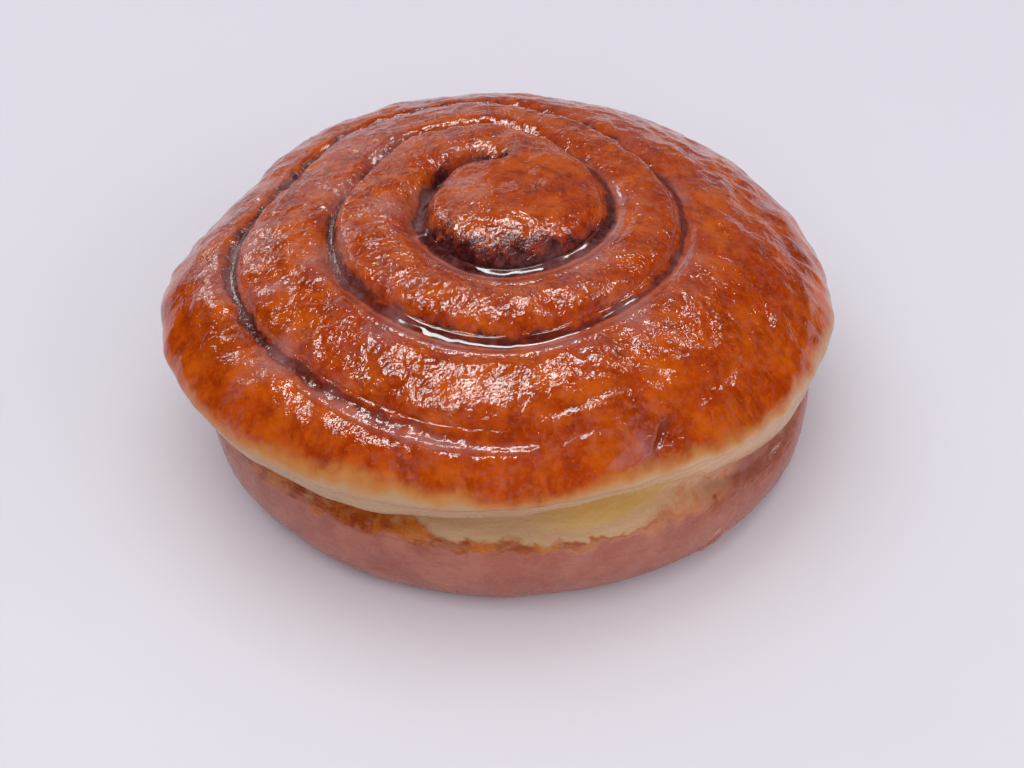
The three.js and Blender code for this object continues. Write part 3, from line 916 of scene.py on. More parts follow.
@dataclass
class GlazePool:
    """Glaze that has run down to the furrow's floor and set there, with a smooth curved surface."""

    skin: Skin
    material: bpy.types.Material
    name: str
    first_turn: float
    last_turn: float
    ripple: Relief = Relief(0.07, 3.2, 2, 13.0)  # how wrinkled the set glaze is
    fill: float = 0.4  # the share of the furrow's depth that it fills where it is fullest
    sleekness: float = 1.0  # how much the fine wrinkles of the crust are smoothed out
    inner: float = -2.2  # how far in of the seam it reaches, in mm
    outer: float = 3.6
    top_columns: int = 16
    spacing: float = 0.5
    least_fill: float = 0.35  # the share of its fill where the least glaze has pooled
    hollow: float = 0.26  # how strongly its surface curves up to its edges, per mm
    unevenness: Relief = Relief(0.2, 5.0, 2, 17.0)  # how far its level wanders
    softness: float = 0.7  # how softly it meets the furrow's walls, in mm
    skin_lift: float = 0.3  # how far it stands over the dough where it is thin
    edge_sink: float = 0.26  # how far its edge lies under the dough
    end_lift: float = 0.15  # the share of its height that its ends keep
    root: float = 0.9  # how far its underside lies in the dough
    edge_widths: Pair = (0.14, 0.3)  # the shares of its width over which its two edges rise
    end_taper: float = 26.0  # in degrees
    sleek_ends: Pair = (0.9, 2.4)  # in mm from the seam
    milk_starts: Pair = (0.1, 1.2)
    clearness: float = 0.9  # how much of the dark under it shows through where it is thick
    clouding: float = 1.2  # how thick that is, in mm
    milk: float = 1.7

    def build(self) -> bpy.types.Object:
        """Fills the furrow's section up to the pool's level along a stretch of the seam."""
        form, furrow = self.skin.form, self.skin.furrow
        turns = seam_turns(form, self.first_turn, self.last_turn, self.spacing)
        mesh, column, row = flat_strip(self.name, self.top_columns + UNDER_COLUMNS, len(turns))
        turn = turns[row]
        across, under = across_strip(column, self.top_columns)
        distance = self.inner + (self.outer - self.inner) * across
        depth = furrow.depth(turn)
        pooled = furrow.along(furrow.pooling, turn)
        ends = smoothstep(turn, self.first_turn, self.first_turn + self.end_taper)
        ends *= smoothstep(self.last_turn - turn, 0.0, self.end_taper)
        flat = form.crown_point(turn, form.reach_at(form.seam_length(turn) + distance))
        bare = furrow.rise(turn, distance + furrow.sway(flat, turn))
        filled = self.fill * (self.least_fill + (1.0 - self.least_fill) * pooled) * ends
        level = -depth * (1.0 - filled) + 0.5 * self.hollow * distance**2 + self.unevenness.lumps(flat)
        gap = (bare - level) / self.softness
        lift = self.softness * np.log1p(np.exp(-gap))
        inner_edge, outer_edge = self.edge_widths
        edge = np.minimum(smoothstep(across, 0.0, inner_edge), smoothstep(1.0 - across, 0.0, outer_edge))
        cover = (lift + self.skin_lift) * edge * (self.end_lift + (1.0 - self.end_lift) * ends)
        cover += self.ripple.lumps(flat) * edge * ends - self.edge_sink
        station = (form.seam_length(turn) + distance) / form.crown_length
        points, masks = self.skin.shape(turn % 360.0, station, glazed=True)
        facing = form.facing(turn % 360.0, station)
        points += facing * np.where(under, -self.root, cover)[:, None]
        write_points(mesh, points)
        thick = np.clip(cover / self.clouding, 0.0, 1.0)
        sleek = edge * (1.0 - smoothstep(distance, *self.sleek_ends))
        masks["wet"] = self.sleekness * np.maximum(masks["wet"], sleek)
        masks["dark"] = masks["dark"] * (1.0 - (1.0 - self.clearness) * thick)
        milky = self.milk * thick * smoothstep(distance, *self.milk_starts)
        masks["haze"] = np.maximum(masks["haze"], milky)
        return finish_glaze(self.name, mesh, masks, self.material)


@dataclass
class GlazeRun:
    """A tongue or a smear of glaze that has set on the outside of the roll."""

    skin: Skin
    material: bpy.types.Material
    name: str
    line: Stations  # angle, station and half width in mm, along its middle
    thickness: float = 0.7
    ripple: Relief = Relief(0.1, 2.2, 2, 29.0)
    milk: float = 0.8
    top_columns: int = 14
    spacing: float = 0.35
    fine_steps: int = 400  # how finely its line is read to space its rows
    least_rows: int = 12
    least_width: float = 0.2  # half its width where it is narrowest, in mm
    frayed: Relief = Relief(0.35, 4.0, 2, 19.0)  # the share by which its half width wanders
    frayed_apart: Pair = (6.0, 5.0)  # how far apart that is read for each station and side, in mm
    sink: float = 0.16  # how far its edge lies under the dough
    root: float = 0.5  # how far its underside lies in the dough
    levelling: float = 0.6  # how much of the dough's relief it fills where it is thickest
    bare_gain: float = 1.5  # more hides the pale dough nearer to its edge
    bare_ends: Pair = (0.45, 0.95)  # the shares of its length over which the pale dough shows again
    milk_starts: Pair = (0.2, 0.95)  # the shares of its height
    stride: float = 0.05  # how far its line is read to each side for its direction, in stations
    drop: float = 0.01  # how far down the skin is read for its slope

    def middle(self, step: Array) -> Array:
        """A point of its middle line on the plain form."""
        stations = np.array(self.line, float)
        return self.skin.form.place(smooth_curve(stations[:, 0], step), smooth_curve(stations[:, 1], step))

    def rows(self) -> Array:
        """Where its rows lie along its line, about evenly spaced."""
        steps = np.linspace(0.0, len(self.line) - 1.0, self.fine_steps)
        run = run_along(self.middle(steps))
        count = max(self.least_rows, int(run[-1] / self.spacing))
        return np.interp(np.linspace(0.0, run[-1], count), run, steps)

    def spread(self, step: Array, side: Array, ends: Array) -> tuple[Array, Array]:
        """Carries its strip from its middle line out to its sides.

        Args:
            step: How far along its line each vertex lies, in stations of the line.
            side: How far to one side, from -1 to 1.
            ends: The share of its full width at that place.

        Returns:
            The angle and the station on the form for each vertex.
        """
        form = self.skin.form
        stations = np.array(self.line, float)
        angle, station = smooth_curve(stations[:, 0], step), smooth_curve(stations[:, 1], step)
        ahead = np.minimum(step + self.stride, len(stations) - 1.0)
        along = self.middle(ahead) - self.middle(ahead - 2.0 * self.stride)
        sideways = np.cross(form.facing(angle, station), along)
        sideways /= np.linalg.norm(sideways, axis=1, keepdims=True)
        run, aside = self.frayed_apart
        places = np.stack([step * run, np.sign(side) * aside, 0.0 * step], axis=-1)
        width = np.maximum(smooth_curve(stations[:, 2], step), self.least_width)
        push = sideways * (side * width * (1.0 + self.frayed.lumps(places)) * ends)[:, None]
        round_it = form.place(angle + 1.0, station) - form.place(angle, station)
        down_it = form.place(angle, station + self.drop) - form.place(angle, station)
        angle = angle + (push * round_it).sum(1) / (round_it**2).sum(1)
        station = station + self.drop * (push * down_it).sum(1) / (down_it**2).sum(1)
        return angle, station

    def build(self) -> bpy.types.Object:
        """Lays the tongue along its line, thick in the middle and sunk in at its edge."""
        rows = self.rows()
        mesh, column, row = flat_strip(self.name, self.top_columns + UNDER_COLUMNS, len(rows))
        across, under = across_strip(column, self.top_columns)
        side = 2.0 * across - 1.0
        share = row / (len(rows) - 1.0)
        ends = np.sqrt(np.clip(4.0 * share * (1.0 - share), 0.0, 1.0))
        angle, station = self.spread(rows[row], side, ends)
        rough, masks = self.skin.shape(angle % 360.0, station)
        smooth, _ = self.skin.shape(angle % 360.0, station, glazed=True)
        dome = np.sqrt(np.clip(1.0 - side**2, 0.0, 1.0)) * ends
        points = rough + (smooth - rough) * self.levelling * dome[:, None]
        cover = self.thickness * dome - self.sink + self.ripple.lumps(points) * dome
        points += self.skin.form.facing(angle, station) * np.where(under, -self.root, cover)[:, None]
        write_points(mesh, points)
        masks["wet"] = dome
        bared = np.minimum(self.bare_gain * dome, 1.0) * (1.0 - smoothstep(share, *self.bare_ends))
        masks["cream"] = masks["cream"] * (1.0 - bared)
        masks["haze"] = np.maximum(masks["haze"], self.milk * smoothstep(dome, *self.milk_starts))
        return finish_glaze(self.name, mesh, masks, self.material)


TAIL_DRIP: Stations = (
    (299.5, 0.885, 0.7), (297.0, 0.90, 1.5), (294.0, 0.915, 2.0), (290.5, 0.928, 1.7), (286.5, 0.938, 0.8),
)
RIDGE_LINE: Stations = (
    (305.0, 1.90, 0.3), (307.5, 1.855, 0.5), (310.0, 1.825, 0.3), (312.0, 1.78, 0.6), (314.0, 1.75, 0.3),
)
FLECK_LINE: Stations = ((309.0, 1.755, 0.3), (310.2, 1.735, 0.5), (311.4, 1.715, 0.25))


# ---- Materials ----------------------------------------------------------------------------------


Colour = Triple


class NoiseKind(Enum):
    """The two kinds of noise that the finishes use."""

    SOFT = "FBM"
    RIDGED = "RIDGED_MULTIFRACTAL"


@dataclass(frozen=True)
class Pattern:
    """A noise, and the range of its values that counts."""

    scale: float
    detail: float = 3.0
    rough: float = 0.55
    warp: float = 0.0
    span: Pair = (0.0, 1.0)  # the two values of the noise that it runs between
    out: Pair = (0.0, 1.0)  # what it gives at those two
    kind: NoiseKind = NoiseKind.SOFT


class NodeSheet:
    """Adds nodes to one node tree and joins them."""

    def __init__(self, tree: bpy.types.NodeTree) -> None:
        """Keeps the tree that the nodes go into."""
        self.tree = tree

    def add(self, kind: str, **settings: object) -> bpy.types.Node:
        """A new node of one kind, with its properties set by name."""
        node = self.tree.nodes.new(kind)
        for name, value in settings.items():
            setattr(node, name, value)
        return node

    def feed(self, socket: bpy.types.NodeSocket, source: object) -> None:
        """Joins a socket to another one, or sets its plain value."""
        if isinstance(source, bpy.types.NodeSocket):
            self.tree.links.new(source, socket)
        elif isinstance(source, tuple) and len(source) == 3 and socket.type == "RGBA":
            socket.default_value = (*source, 1.0)
        else:
            socket.default_value = source

    def coordinates(self, scale: Triple = (1.0, 1.0, 1.0)) -> bpy.types.NodeSocket:
        """Object coordinates, stretched on each axis."""
        place = self.add("ShaderNodeTexCoord").outputs["Object"]
        mapping = self.add("ShaderNodeMapping")
        self.feed(mapping.inputs["Vector"], place)
        self.feed(mapping.inputs["Scale"], scale)
        return mapping.outputs["Vector"]

    def mask(self, name: str) -> bpy.types.NodeSocket:
        """The value of a named mask of the mesh."""
        return self.add("ShaderNodeAttribute", attribute_name=name).outputs["Fac"]

    def noise(self, vector: bpy.types.NodeSocket, pattern: Pattern) -> bpy.types.NodeSocket:
        """A pattern's noise as it is, plain or drawn up into ridges."""
        node = self.add("ShaderNodeTexNoise", noise_type=pattern.kind.value, normalize=True)
        self.feed(node.inputs["Vector"], vector)
        self.feed(node.inputs["Scale"], pattern.scale)
        self.feed(node.inputs["Detail"], pattern.detail)
        self.feed(node.inputs["Roughness"], pattern.rough)
        self.feed(node.inputs["Distortion"], pattern.warp)
        return node.outputs[0]

    def pattern(self, vector: bpy.types.NodeSocket, pattern: Pattern) -> bpy.types.NodeSocket:
        """A pattern's noise, carried from its span to what it gives."""
        return self.ramp(self.noise(vector, pattern), *pattern.span, *pattern.out)

    def math(self, operation: str, first: object, second: object,
             clamp: bool = False) -> bpy.types.NodeSocket:
        """Two values joined by one operation, kept from 0 to 1 if it is clamped."""
        node = self.add("ShaderNodeMath", operation=operation, use_clamp=clamp)
        self.feed(node.inputs[0], first)
        self.feed(node.inputs[1], second)
        return node.outputs[0]

    def times(self, first: object, *others: object, clamp: bool = False) -> bpy.types.NodeSocket:
        """Values multiplied one after the other."""
        for value in others:
            first = self.math("MULTIPLY", first, value, clamp and value is others[-1])
        return first

    def plus(self, first: object, *others: object, clamp: bool = False) -> bpy.types.NodeSocket:
        """Values added one after the other."""
        for value in others:
            first = self.math("ADD", first, value, clamp and value is others[-1])
        return first

    def rest(self, value: object) -> bpy.types.NodeSocket:
        """What a value leaves of 1."""
        return self.math("SUBTRACT", 1.0, value)

    def bump(self, height: bpy.types.NodeSocket, strength: float = 1.0) -> bpy.types.NodeSocket:
        """A normal tilted by a height in mm."""
        node = self.add("ShaderNodeBump")
        self.feed(node.inputs["Height"], height)
        self.feed(node.inputs["Distance"], MM)
        self.feed(node.inputs["Strength"], strength)
        return node.outputs["Normal"]

    def ramp(self, value: object, low: float, high: float, to_low: float = 0.0,
             to_high: float = 1.0) -> bpy.types.NodeSocket:
        """A value carried from one range to another with soft ends."""
        node = self.add("ShaderNodeMapRange", interpolation_type="SMOOTHSTEP")
        for name, number in zip(("Value", "From Min", "From Max", "To Min", "To Max"),
                                (value, low, high, to_low, to_high)):
            self.feed(node.inputs[name], number)
        return node.outputs["Result"]

    def mix(self, share: object, first: object, second: object) -> bpy.types.NodeSocket:
        """Two colours mixed by the second one's share."""
        node = self.add("ShaderNodeMix", data_type="RGBA", blend_type="MIX")
        self.feed(node.inputs[0], share)
        self.feed(node.inputs[6], first)
        self.feed(node.inputs[7], second)
        return node.outputs[2]


def new_group(name: str, inputs: dict[str, str], outputs: dict[str, str]) -> bpy.types.NodeTree:
    """An empty shader node group with its sockets.

    Args:
        name: The group's name.
        inputs: The kind of socket for each input's name.
        outputs: The kind of socket for each output's name.

    Returns:
        The group's node tree.
    """
    group = bpy.data.node_groups.new(name, "ShaderNodeTree")
    for socket, kind in inputs.items():
        group.interface.new_socket(socket, in_out="INPUT", socket_type=kind)
    for socket, kind in outputs.items():
        group.interface.new_socket(socket, in_out="OUTPUT", socket_type=kind)
    return group


def place_group(sheet: NodeSheet, group: bpy.types.NodeTree, **values: object) -> bpy.types.Node:
    """Puts a group in a material with its own values."""
    node = sheet.add("ShaderNodeGroup", node_tree=group)
    for name, value in values.items():
        sheet.feed(node.inputs[name], value)
    return node


VALUE, COLOUR, VECTOR = "NodeSocketFloat", "NodeSocketColor", "NodeSocketVector"


def fry_mottle_group() -> bpy.types.NodeTree:
    """The uneven browning of fried dough: three tones in blots, freckles and grain."""
    deep_share, pore_share, grain_share = 0.7, 0.4, 0.5
    group = new_group(
        "Fry mottle",
        {"Vector": VECTOR, "Wound": VECTOR, "Pale": COLOUR, "Brown": COLOUR, "Deep": COLOUR},
        {"Color": COLOUR},
    )
    sheet = NodeSheet(group)
    given = sheet.add("NodeGroupInput").outputs
    blots = sheet.pattern(given["Vector"], Pattern(150.0, 6.0, 0.62, 0.2, (0.38, 0.64)))
    grain = sheet.pattern(given["Vector"], Pattern(1000.0, 2.0, 0.6, 0.3, (0.52, 0.7)))
    pores = sheet.pattern(given["Wound"], Pattern(900.0, 3.0, 0.6, 0.0, (0.5, 0.72)))
    deep = sheet.pattern(given["Wound"], Pattern(280.0, 6.0, 0.66, 0.3, (0.45, 0.68)))
    tone = sheet.mix(blots, given["Brown"], given["Pale"])
    tone = sheet.mix(sheet.times(deep, deep_share), tone, given["Deep"])
    tone = sheet.mix(sheet.times(pores, pore_share), tone, given["Deep"])
    tone = sheet.mix(sheet.times(grain, grain_share), tone, given["Pale"])
    sheet.feed(sheet.add("NodeGroupOutput").inputs["Color"], tone)
    return group


def glaze_haze_group() -> bpy.types.NodeTree:
    """Sugar glaze dried to a milky film, thick in some places and gone in others."""
    group = new_group(
        "Glaze haze",
        {"Vector": VECTOR, "Base": COLOUR, "Film": COLOUR, "Amount": VALUE, "Veil": VALUE, "Strength": VALUE},
        {"Color": COLOUR, "Film": VALUE},
    )
    sheet = NodeSheet(group)
    given = sheet.add("NodeGroupInput").outputs
    clouds = sheet.pattern(given["Vector"], Pattern(95.0, 3.0, 0.5, 0.0, (0.4, 0.68), (-0.2, 0.5)))
    flecks = sheet.pattern(given["Vector"], Pattern(700.0, 2.0, 0.6, 0.4, (0.3, 0.7), (-0.168, 0.168)))
    patches = sheet.pattern(given["Vector"], Pattern(105.0, 4.0, 0.6, 0.5, (0.4, 0.62), (0.3, 1.1)))
    amount = sheet.times(given["Amount"], patches)
    film = sheet.plus(amount, sheet.times(clouds, given["Veil"]), flecks, clamp=True)
    film = sheet.times(film, given["Strength"], clamp=True)
    out = sheet.add("NodeGroupOutput").inputs
    sheet.feed(out["Color"], sheet.mix(film, given["Base"], given["Film"]))
    sheet.feed(out["Film"], film)
    return group


def glaze_relief_group() -> bpy.types.NodeTree:
    """The fine surface of set glaze over fried dough: wrinkles, blisters and grain, in mm."""
    wrinkle_height, crinkle_height, fold_height, crisp_height = 0.55, 0.18, 0.14, 0.03
    group = new_group(
        "Glaze relief",
        {"Vector": VECTOR, "Wound": VECTOR, "Wrinkle": VALUE, "Blister": VALUE},
        {"Height": VALUE},
    )
    sheet = NodeSheet(group)
    given = sheet.add("NodeGroupInput").outputs
    wrinkle = sheet.noise(given["Wound"], Pattern(560.0, 2.0, 0.5, 0.7))
    crinkle = sheet.noise(given["Vector"], Pattern(950.0, 2.0, 0.55, 0.5))
    fold = sheet.noise(given["Wound"], Pattern(340.0, 2.0, 0.5, 1.4, kind=NoiseKind.RIDGED))
    crisp = sheet.noise(given["Vector"], Pattern(1250.0, 1.0, 0.5, 0.6, kind=NoiseKind.RIDGED))
    blister = sheet.noise(given["Vector"], Pattern(1700.0, 1.0, 0.5))
    wrinkles = sheet.plus(
        sheet.times(wrinkle, wrinkle_height),
        sheet.times(crinkle, crinkle_height),
        sheet.times(fold, fold_height),
        sheet.times(crisp, crisp_height),
    )
    height = sheet.plus(sheet.times(wrinkles, given["Wrinkle"]), sheet.times(blister, given["Blister"]))
    sheet.feed(sheet.add("NodeGroupOutput").inputs["Height"], height)
    return group


@dataclass(frozen=True)
class NodeGroups:
    """The effects that several finishes share."""

    mottle: bpy.types.NodeTree = field(default_factory=fry_mottle_group)
    haze: bpy.types.NodeTree = field(default_factory=glaze_haze_group)
    relief: bpy.types.NodeTree = field(default_factory=glaze_relief_group)


def start_material(name: str) -> tuple[bpy.types.Material, NodeSheet, bpy.types.Node]:
    """A new material with its shader.

    Returns:
        The material, its node sheet and its Principled shader.
    """
    material = bpy.data.materials.new(name)
    material.use_nodes = True
    sheet = NodeSheet(material.node_tree)
    return material, sheet, material.node_tree.nodes["Principled BSDF"]


@dataclass(frozen=True)
class SkinPlaces:
    """Where the finish of the skin is read: as it lies, and drawn together along the bands."""

    plain: bpy.types.NodeSocket
    wound: bpy.types.NodeSocket


@dataclass(frozen=True)
class GlazedCrust:
    """The finish of the whole skin: fried crust, pale dough, and the glaze over both."""

    groups: NodeGroups
    pale: Colour = (0.53, 0.088, 0.004)
    brown: Colour = (0.37, 0.038, 0.002)
    deep: Colour = (0.19, 0.013, 0.001)
    blush: Colour = (0.54, 0.155, 0.05)
    cream: Colour = (0.45, 0.275, 0.15)
    # painted light: a lighter cream for the lip above the blush, where the sagging lip shades it
    painted_light_cream: Colour = (0.64, 0.37, 0.20)
    strand: Colour = (0.56, 0.42, 0.31)
    tan: Colour = (0.49, 0.19, 0.05)
    recess: Colour = (0.56, 0.33, 0.11)
    scorched: Colour = (0.42, 0.105, 0.005)
    scorched_deep: Colour = (0.25, 0.036, 0.002)
    lower: Colour = (0.34, 0.096, 0.060)
    lower_pale: Colour = (0.40, 0.132, 0.087)
    lower_deep: Colour = (0.27, 0.064, 0.038)
    film: Colour = (0.41, 0.185, 0.18)
    cinnamon: Colour = (0.036, 0.004, 0.005)
    cinnamon_warm: Colour = (0.13, 0.014, 0.009)
    stain_fringe: Colour = (0.15, 0.022, 0.02)
    # painted shade that darkens the tail's creases and slit
    crease_shade: Colour = (0.14, 0.022, 0.008)
    # The pale dough: its streaks, the pale strands where it stretched, and its edge to the crust.
    streaks: Pattern = Pattern(150.0, 5.0, 0.6, 0.4, (0.4, 0.65), (0.0, 0.28))
    streak_stretch: Triple = (1.0, 1.0, 3.0)
    strands: Pattern = Pattern(170.0, 3.0, 0.5, 0.8, (0.6, 0.85), (0.0, 0.6), NoiseKind.RIDGED)
    strand_stretch: Triple = (1.0, 1.0, 5.0)
    cream_edge: Pattern = Pattern(200.0, 3.0, 0.6, 0.3, (0.3, 0.7), (-0.08, 0.08))
    tan_blend: Pair = (0.06, 0.5)
    cream_blend: Pair = (0.4, 0.75)
    recess_blend: Pair = (0.3, 1.0)
    painted_light_share: float = 0.7  # how far the lip above the blush is painted lighter, as painted light where the sagging lip shades it
    # The stain of the filling: its ragged edge, and how much its fringe and its dark cover.
    stain_edge: Pattern = Pattern(190.0, 4.0, 0.65, 0.5, (0.3, 0.7), (-0.45, 0.45))
    stain_grain: Pattern = Pattern(900.0, 3.0, 0.7, 0.0, (0.3, 0.7), (-0.1, 0.1))
    grains: Pattern = Pattern(800.0, 4.0, 0.7, 0.6, (0.45, 0.7), (0.0, 0.8))
    fringe_blend: Pair = (-0.3, 0.45)
    dark_blend: Pair = (0.02, 0.66)
    fringe_cover: float = 0.8
    dark_gain: float = 1.05
    dark_cover: float = 0.96
    # The edge of the lower body: in mm from its line, with the scorched line and the blush over it.
    foot_edge: Pattern = Pattern(200.0, 3.0, 0.6, 0.4, (0.25, 0.75), (-1.2, 1.2))
    foot_spread: float = 0.45
    blush_spread: float = 3.2
    embers: Pattern = Pattern(190.0, 4.0, 0.65, 0.5, (0.38, 0.62))
    scorch_starts: Pair = (-0.5, 0.1)
    scorch_ends: Pair = (0.55, 1.05)  # the shares of its height
    scorch_gaps: Pattern = Pattern(330.0, 3.0, 0.6, 0.8, (0.3, 0.5), (0.6, 1.0))
    spot_from: Pair = (0.1, 0.9)
    least_spot: float = 0.2
    # The glaze, and the creases with their painted shade.
    film_strength: float = 0.55
    film_ends: Pair = (0.2, 0.7)  # the shares of pale dough over which the film gives way
    crack_edge: Pattern = Pattern(500.0, 3.0, 0.55, 0.0, (0.3, 0.7), (-0.15, 0.15))
    crack_blend: Pair = (0.25, 0.85)
    crease_shade_cover: float = 0.6
    crack_depth: float = 0.2  # in mm
    roughness: Pattern = Pattern(260.0, 3.0, 0.55, 0.0, (0.3, 0.7), (0.04, 0.15))
    cream_roughness: float = 0.16  # how much rougher the pale dough is
    dark_roughness: float = 0.12
    # The relief: how much of the wrinkles is left on pale dough and on the stain, and the rest in mm.
    cream_calms: Pair = (0.2, 0.9)
    cream_wrinkles: float = 0.2
    dark_wrinkles: float = 0.35
    blister: float = 0.04
    stretch_marks: Pattern = Pattern(230.0, 3.0, 0.6)
    stretch_mark_stretch: Triple = (1.0, 1.0, 7.0)
    stretch_depth: float = 0.22

    def mottled(self, sheet: NodeSheet, places: SkinPlaces, pale: Colour, brown: Colour,
                deep: Colour) -> bpy.types.NodeSocket:
        """Fried dough in three tones."""
        group = place_group(sheet, self.groups.mottle, Vector=places.plain, Wound=places.wound,
                            Pale=pale, Brown=brown, Deep=deep)
        return group.outputs["Color"]

    def pale_dough(self, sheet: NodeSheet, places: SkinPlaces, crust: bpy.types.NodeSocket,
                   cream: bpy.types.NodeSocket) -> bpy.types.NodeSocket:
        """Crust that turns through tan to the pale dough of the lip and the recess."""
        share = sheet.plus(cream, sheet.pattern(places.plain, self.cream_edge))
        streaks = sheet.pattern(sheet.coordinates(self.streak_stretch), self.streaks)
        strands = sheet.pattern(sheet.coordinates(self.strand_stretch), self.strands)
        lip = sheet.mix(streaks, self.cream, self.tan)
        lip = sheet.mix(strands, lip, self.strand)
        # Painted light: the lip above the blush is painted lighter.
        lip = sheet.mix(sheet.times(sheet.mask("blush"), self.painted_light_share), lip, self.painted_light_cream)
        lip = sheet.mix(sheet.ramp(sheet.mask("recess"), *self.recess_blend), lip, self.recess)
        tone = sheet.mix(sheet.ramp(share, *self.tan_blend), crust, self.tan)
        return sheet.mix(sheet.ramp(share, *self.cream_blend), tone, lip)

    def over_lower_body(self, sheet: NodeSheet, places: SkinPlaces,
                        upper: bpy.types.NodeSocket) -> bpy.types.NodeSocket:
        """The dough above the lower body, with the scorched line or the blush between the two."""
        height = sheet.plus(sheet.mask("above_foot"), sheet.pattern(places.plain, self.foot_edge))
        blush = sheet.mask("blush")
        ember = sheet.pattern(places.plain, self.embers)
        spread = sheet.plus(sheet.times(blush, self.blush_spread), self.foot_spread)
        bare = sheet.ramp(sheet.math("DIVIDE", height, spread), -1.0, 1.0)
        lower = self.mottled(sheet, places, self.lower_pale, self.lower, self.lower_deep)
        tone = sheet.mix(bare, lower, upper)
        between = sheet.times(bare, sheet.rest(bare), 4.0)
        tone = sheet.mix(sheet.times(between, blush, ember), tone, self.blush)
        to_top = sheet.math("DIVIDE", height, sheet.mask("scorch"))
        scorch = sheet.times(sheet.ramp(height, *self.scorch_starts),
                             sheet.ramp(to_top, *self.scorch_ends, 1.0, 0.0),
                             sheet.pattern(places.plain, self.scorch_gaps))
        scorch = sheet.times(scorch, sheet.rest(blush), clamp=True)
        tone = sheet.mix(scorch, tone, sheet.mix(ember, self.scorched, self.scorched_deep))
        spot = sheet.times(sheet.mask("spot"), sheet.ramp(ember, *self.spot_from, self.least_spot, 1.0))
        return sheet.mix(spot, tone, self.scorched_deep)

    def stained(self, sheet: NodeSheet, places: SkinPlaces, dough: bpy.types.NodeSocket,
                ) -> tuple[bpy.types.NodeSocket, bpy.types.NodeSocket]:
        """Dough stained by the filling: a maroon fringe round the dark where the filling shows.

        Returns:
            The stained colour, and how dark each point is.
        """
        ragged = sheet.plus(sheet.pattern(places.plain, self.stain_edge),
                            sheet.pattern(places.plain, self.stain_grain))
        near = sheet.plus(sheet.mask("stain"), ragged)
        shown = sheet.mask("dark")
        fringe = sheet.times(sheet.ramp(near, *self.fringe_blend), shown, self.fringe_cover)
        dark = sheet.times(sheet.ramp(near, *self.dark_blend), shown, self.dark_gain, clamp=True)
        grains = sheet.pattern(places.plain, self.grains)
        tone = sheet.mix(fringe, dough, self.stain_fringe)
        filling = sheet.mix(grains, self.cinnamon, self.cinnamon_warm)
        return sheet.mix(sheet.times(dark, self.dark_cover), tone, filling), dark

    def relief(self, sheet: NodeSheet, places: SkinPlaces, cream: bpy.types.NodeSocket,
               dark: bpy.types.NodeSocket, dry: bpy.types.NodeSocket) -> bpy.types.NodeSocket:
        """The height of the glaze's wrinkles and of the stretched pale dough, in mm."""
        wrinkle = sheet.times(dry, sheet.ramp(cream, *self.cream_calms, 1.0, self.cream_wrinkles),
                              sheet.mask("wrinkle"), sheet.ramp(dark, 0.0, 1.0, 1.0, self.dark_wrinkles))
        blister = sheet.times(sheet.plus(sheet.times(dark, self.blister), self.blister), dry)
        group = place_group(sheet, self.groups.relief, Vector=places.plain, Wound=places.wound,
                            Wrinkle=wrinkle, Blister=blister)
        marks = sheet.noise(sheet.coordinates(self.stretch_mark_stretch), self.stretch_marks)
        return sheet.plus(group.outputs["Height"], sheet.times(marks, cream, self.stretch_depth))

    def material(self) -> bpy.types.Material:
        """Builds the finish from the skin's masks."""
        material, sheet, shader = start_material("Glazed crust")
        wound = sheet.add("ShaderNodeAttribute", attribute_name="wound").outputs["Vector"]
        places = SkinPlaces(sheet.coordinates(), wound)
        cream = sheet.mask("cream")
        dry = sheet.rest(sheet.mask("wet"))
        crust = self.mottled(sheet, places, self.pale, self.brown, self.deep)
        tone = self.over_lower_body(sheet, places, self.pale_dough(sheet, places, crust, cream))
        film = place_group(sheet, self.groups.haze, Vector=places.plain, Base=tone, Film=self.film,
                           Amount=sheet.mask("haze"), Veil=sheet.mask("veil"),
                           Strength=self.film_strength)
        tone = sheet.mix(sheet.ramp(cream, *self.film_ends), film.outputs["Color"], tone)
        # Painted shade darkens the creases, and the bump dents them.
        frayed = sheet.plus(sheet.mask("crack"), sheet.pattern(places.plain, self.crack_edge))
        crack = sheet.ramp(frayed, *self.crack_blend)
        tone = sheet.mix(sheet.times(crack, self.crease_shade_cover), tone, self.crease_shade)
        tone, dark = self.stained(sheet, places, tone)
        tone = sheet.mix(sheet.times(film.outputs["Film"], dark), tone, self.film)
        rough = sheet.plus(sheet.pattern(places.plain, self.roughness),
                           sheet.times(cream, self.cream_roughness),
                           sheet.times(dark, dry, self.dark_roughness))
        height = sheet.plus(self.relief(sheet, places, cream, dark, dry),
                            sheet.times(crack, -self.crack_depth))
        sheet.feed(shader.inputs["Base Color"], tone)
        sheet.feed(shader.inputs["Roughness"], rough)
        sheet.feed(shader.inputs["Normal"], sheet.bump(height))
        return material


@dataclass(frozen=True)
class CinnamonPaste:
    """The finish of the filling: dark, sticky and grainy."""

    dark: Colour = (0.08, 0.013, 0.013)
    warm: Colour = (0.20, 0.04, 0.033)
    grains: Pattern = Pattern(800.0, 4.0, 0.7, 0.6, (0.45, 0.7))
    roughness: Pair = (0.45, 0.5)  # of the dark and of the warm
    gloss: float = 0.06
    grit: Pattern = Pattern(900.0, 4.0, 0.7)
    grit_depth: float = 0.8

    def material(self) -> bpy.types.Material:
        """Builds the finish."""
        material, sheet, shader = start_material("Cinnamon paste")
        shader.inputs["Specular IOR Level"].default_value = self.gloss
        place = sheet.coordinates()
        grains = sheet.pattern(place, self.grains)
        sheet.feed(shader.inputs["Base Color"], sheet.mix(grains, self.dark, self.warm))
        sheet.feed(shader.inputs["Roughness"], sheet.ramp(grains, 0.0, 1.0, *self.roughness))
        sheet.feed(shader.inputs["Normal"], sheet.bump(sheet.noise(place, self.grit), self.grit_depth))
        return material


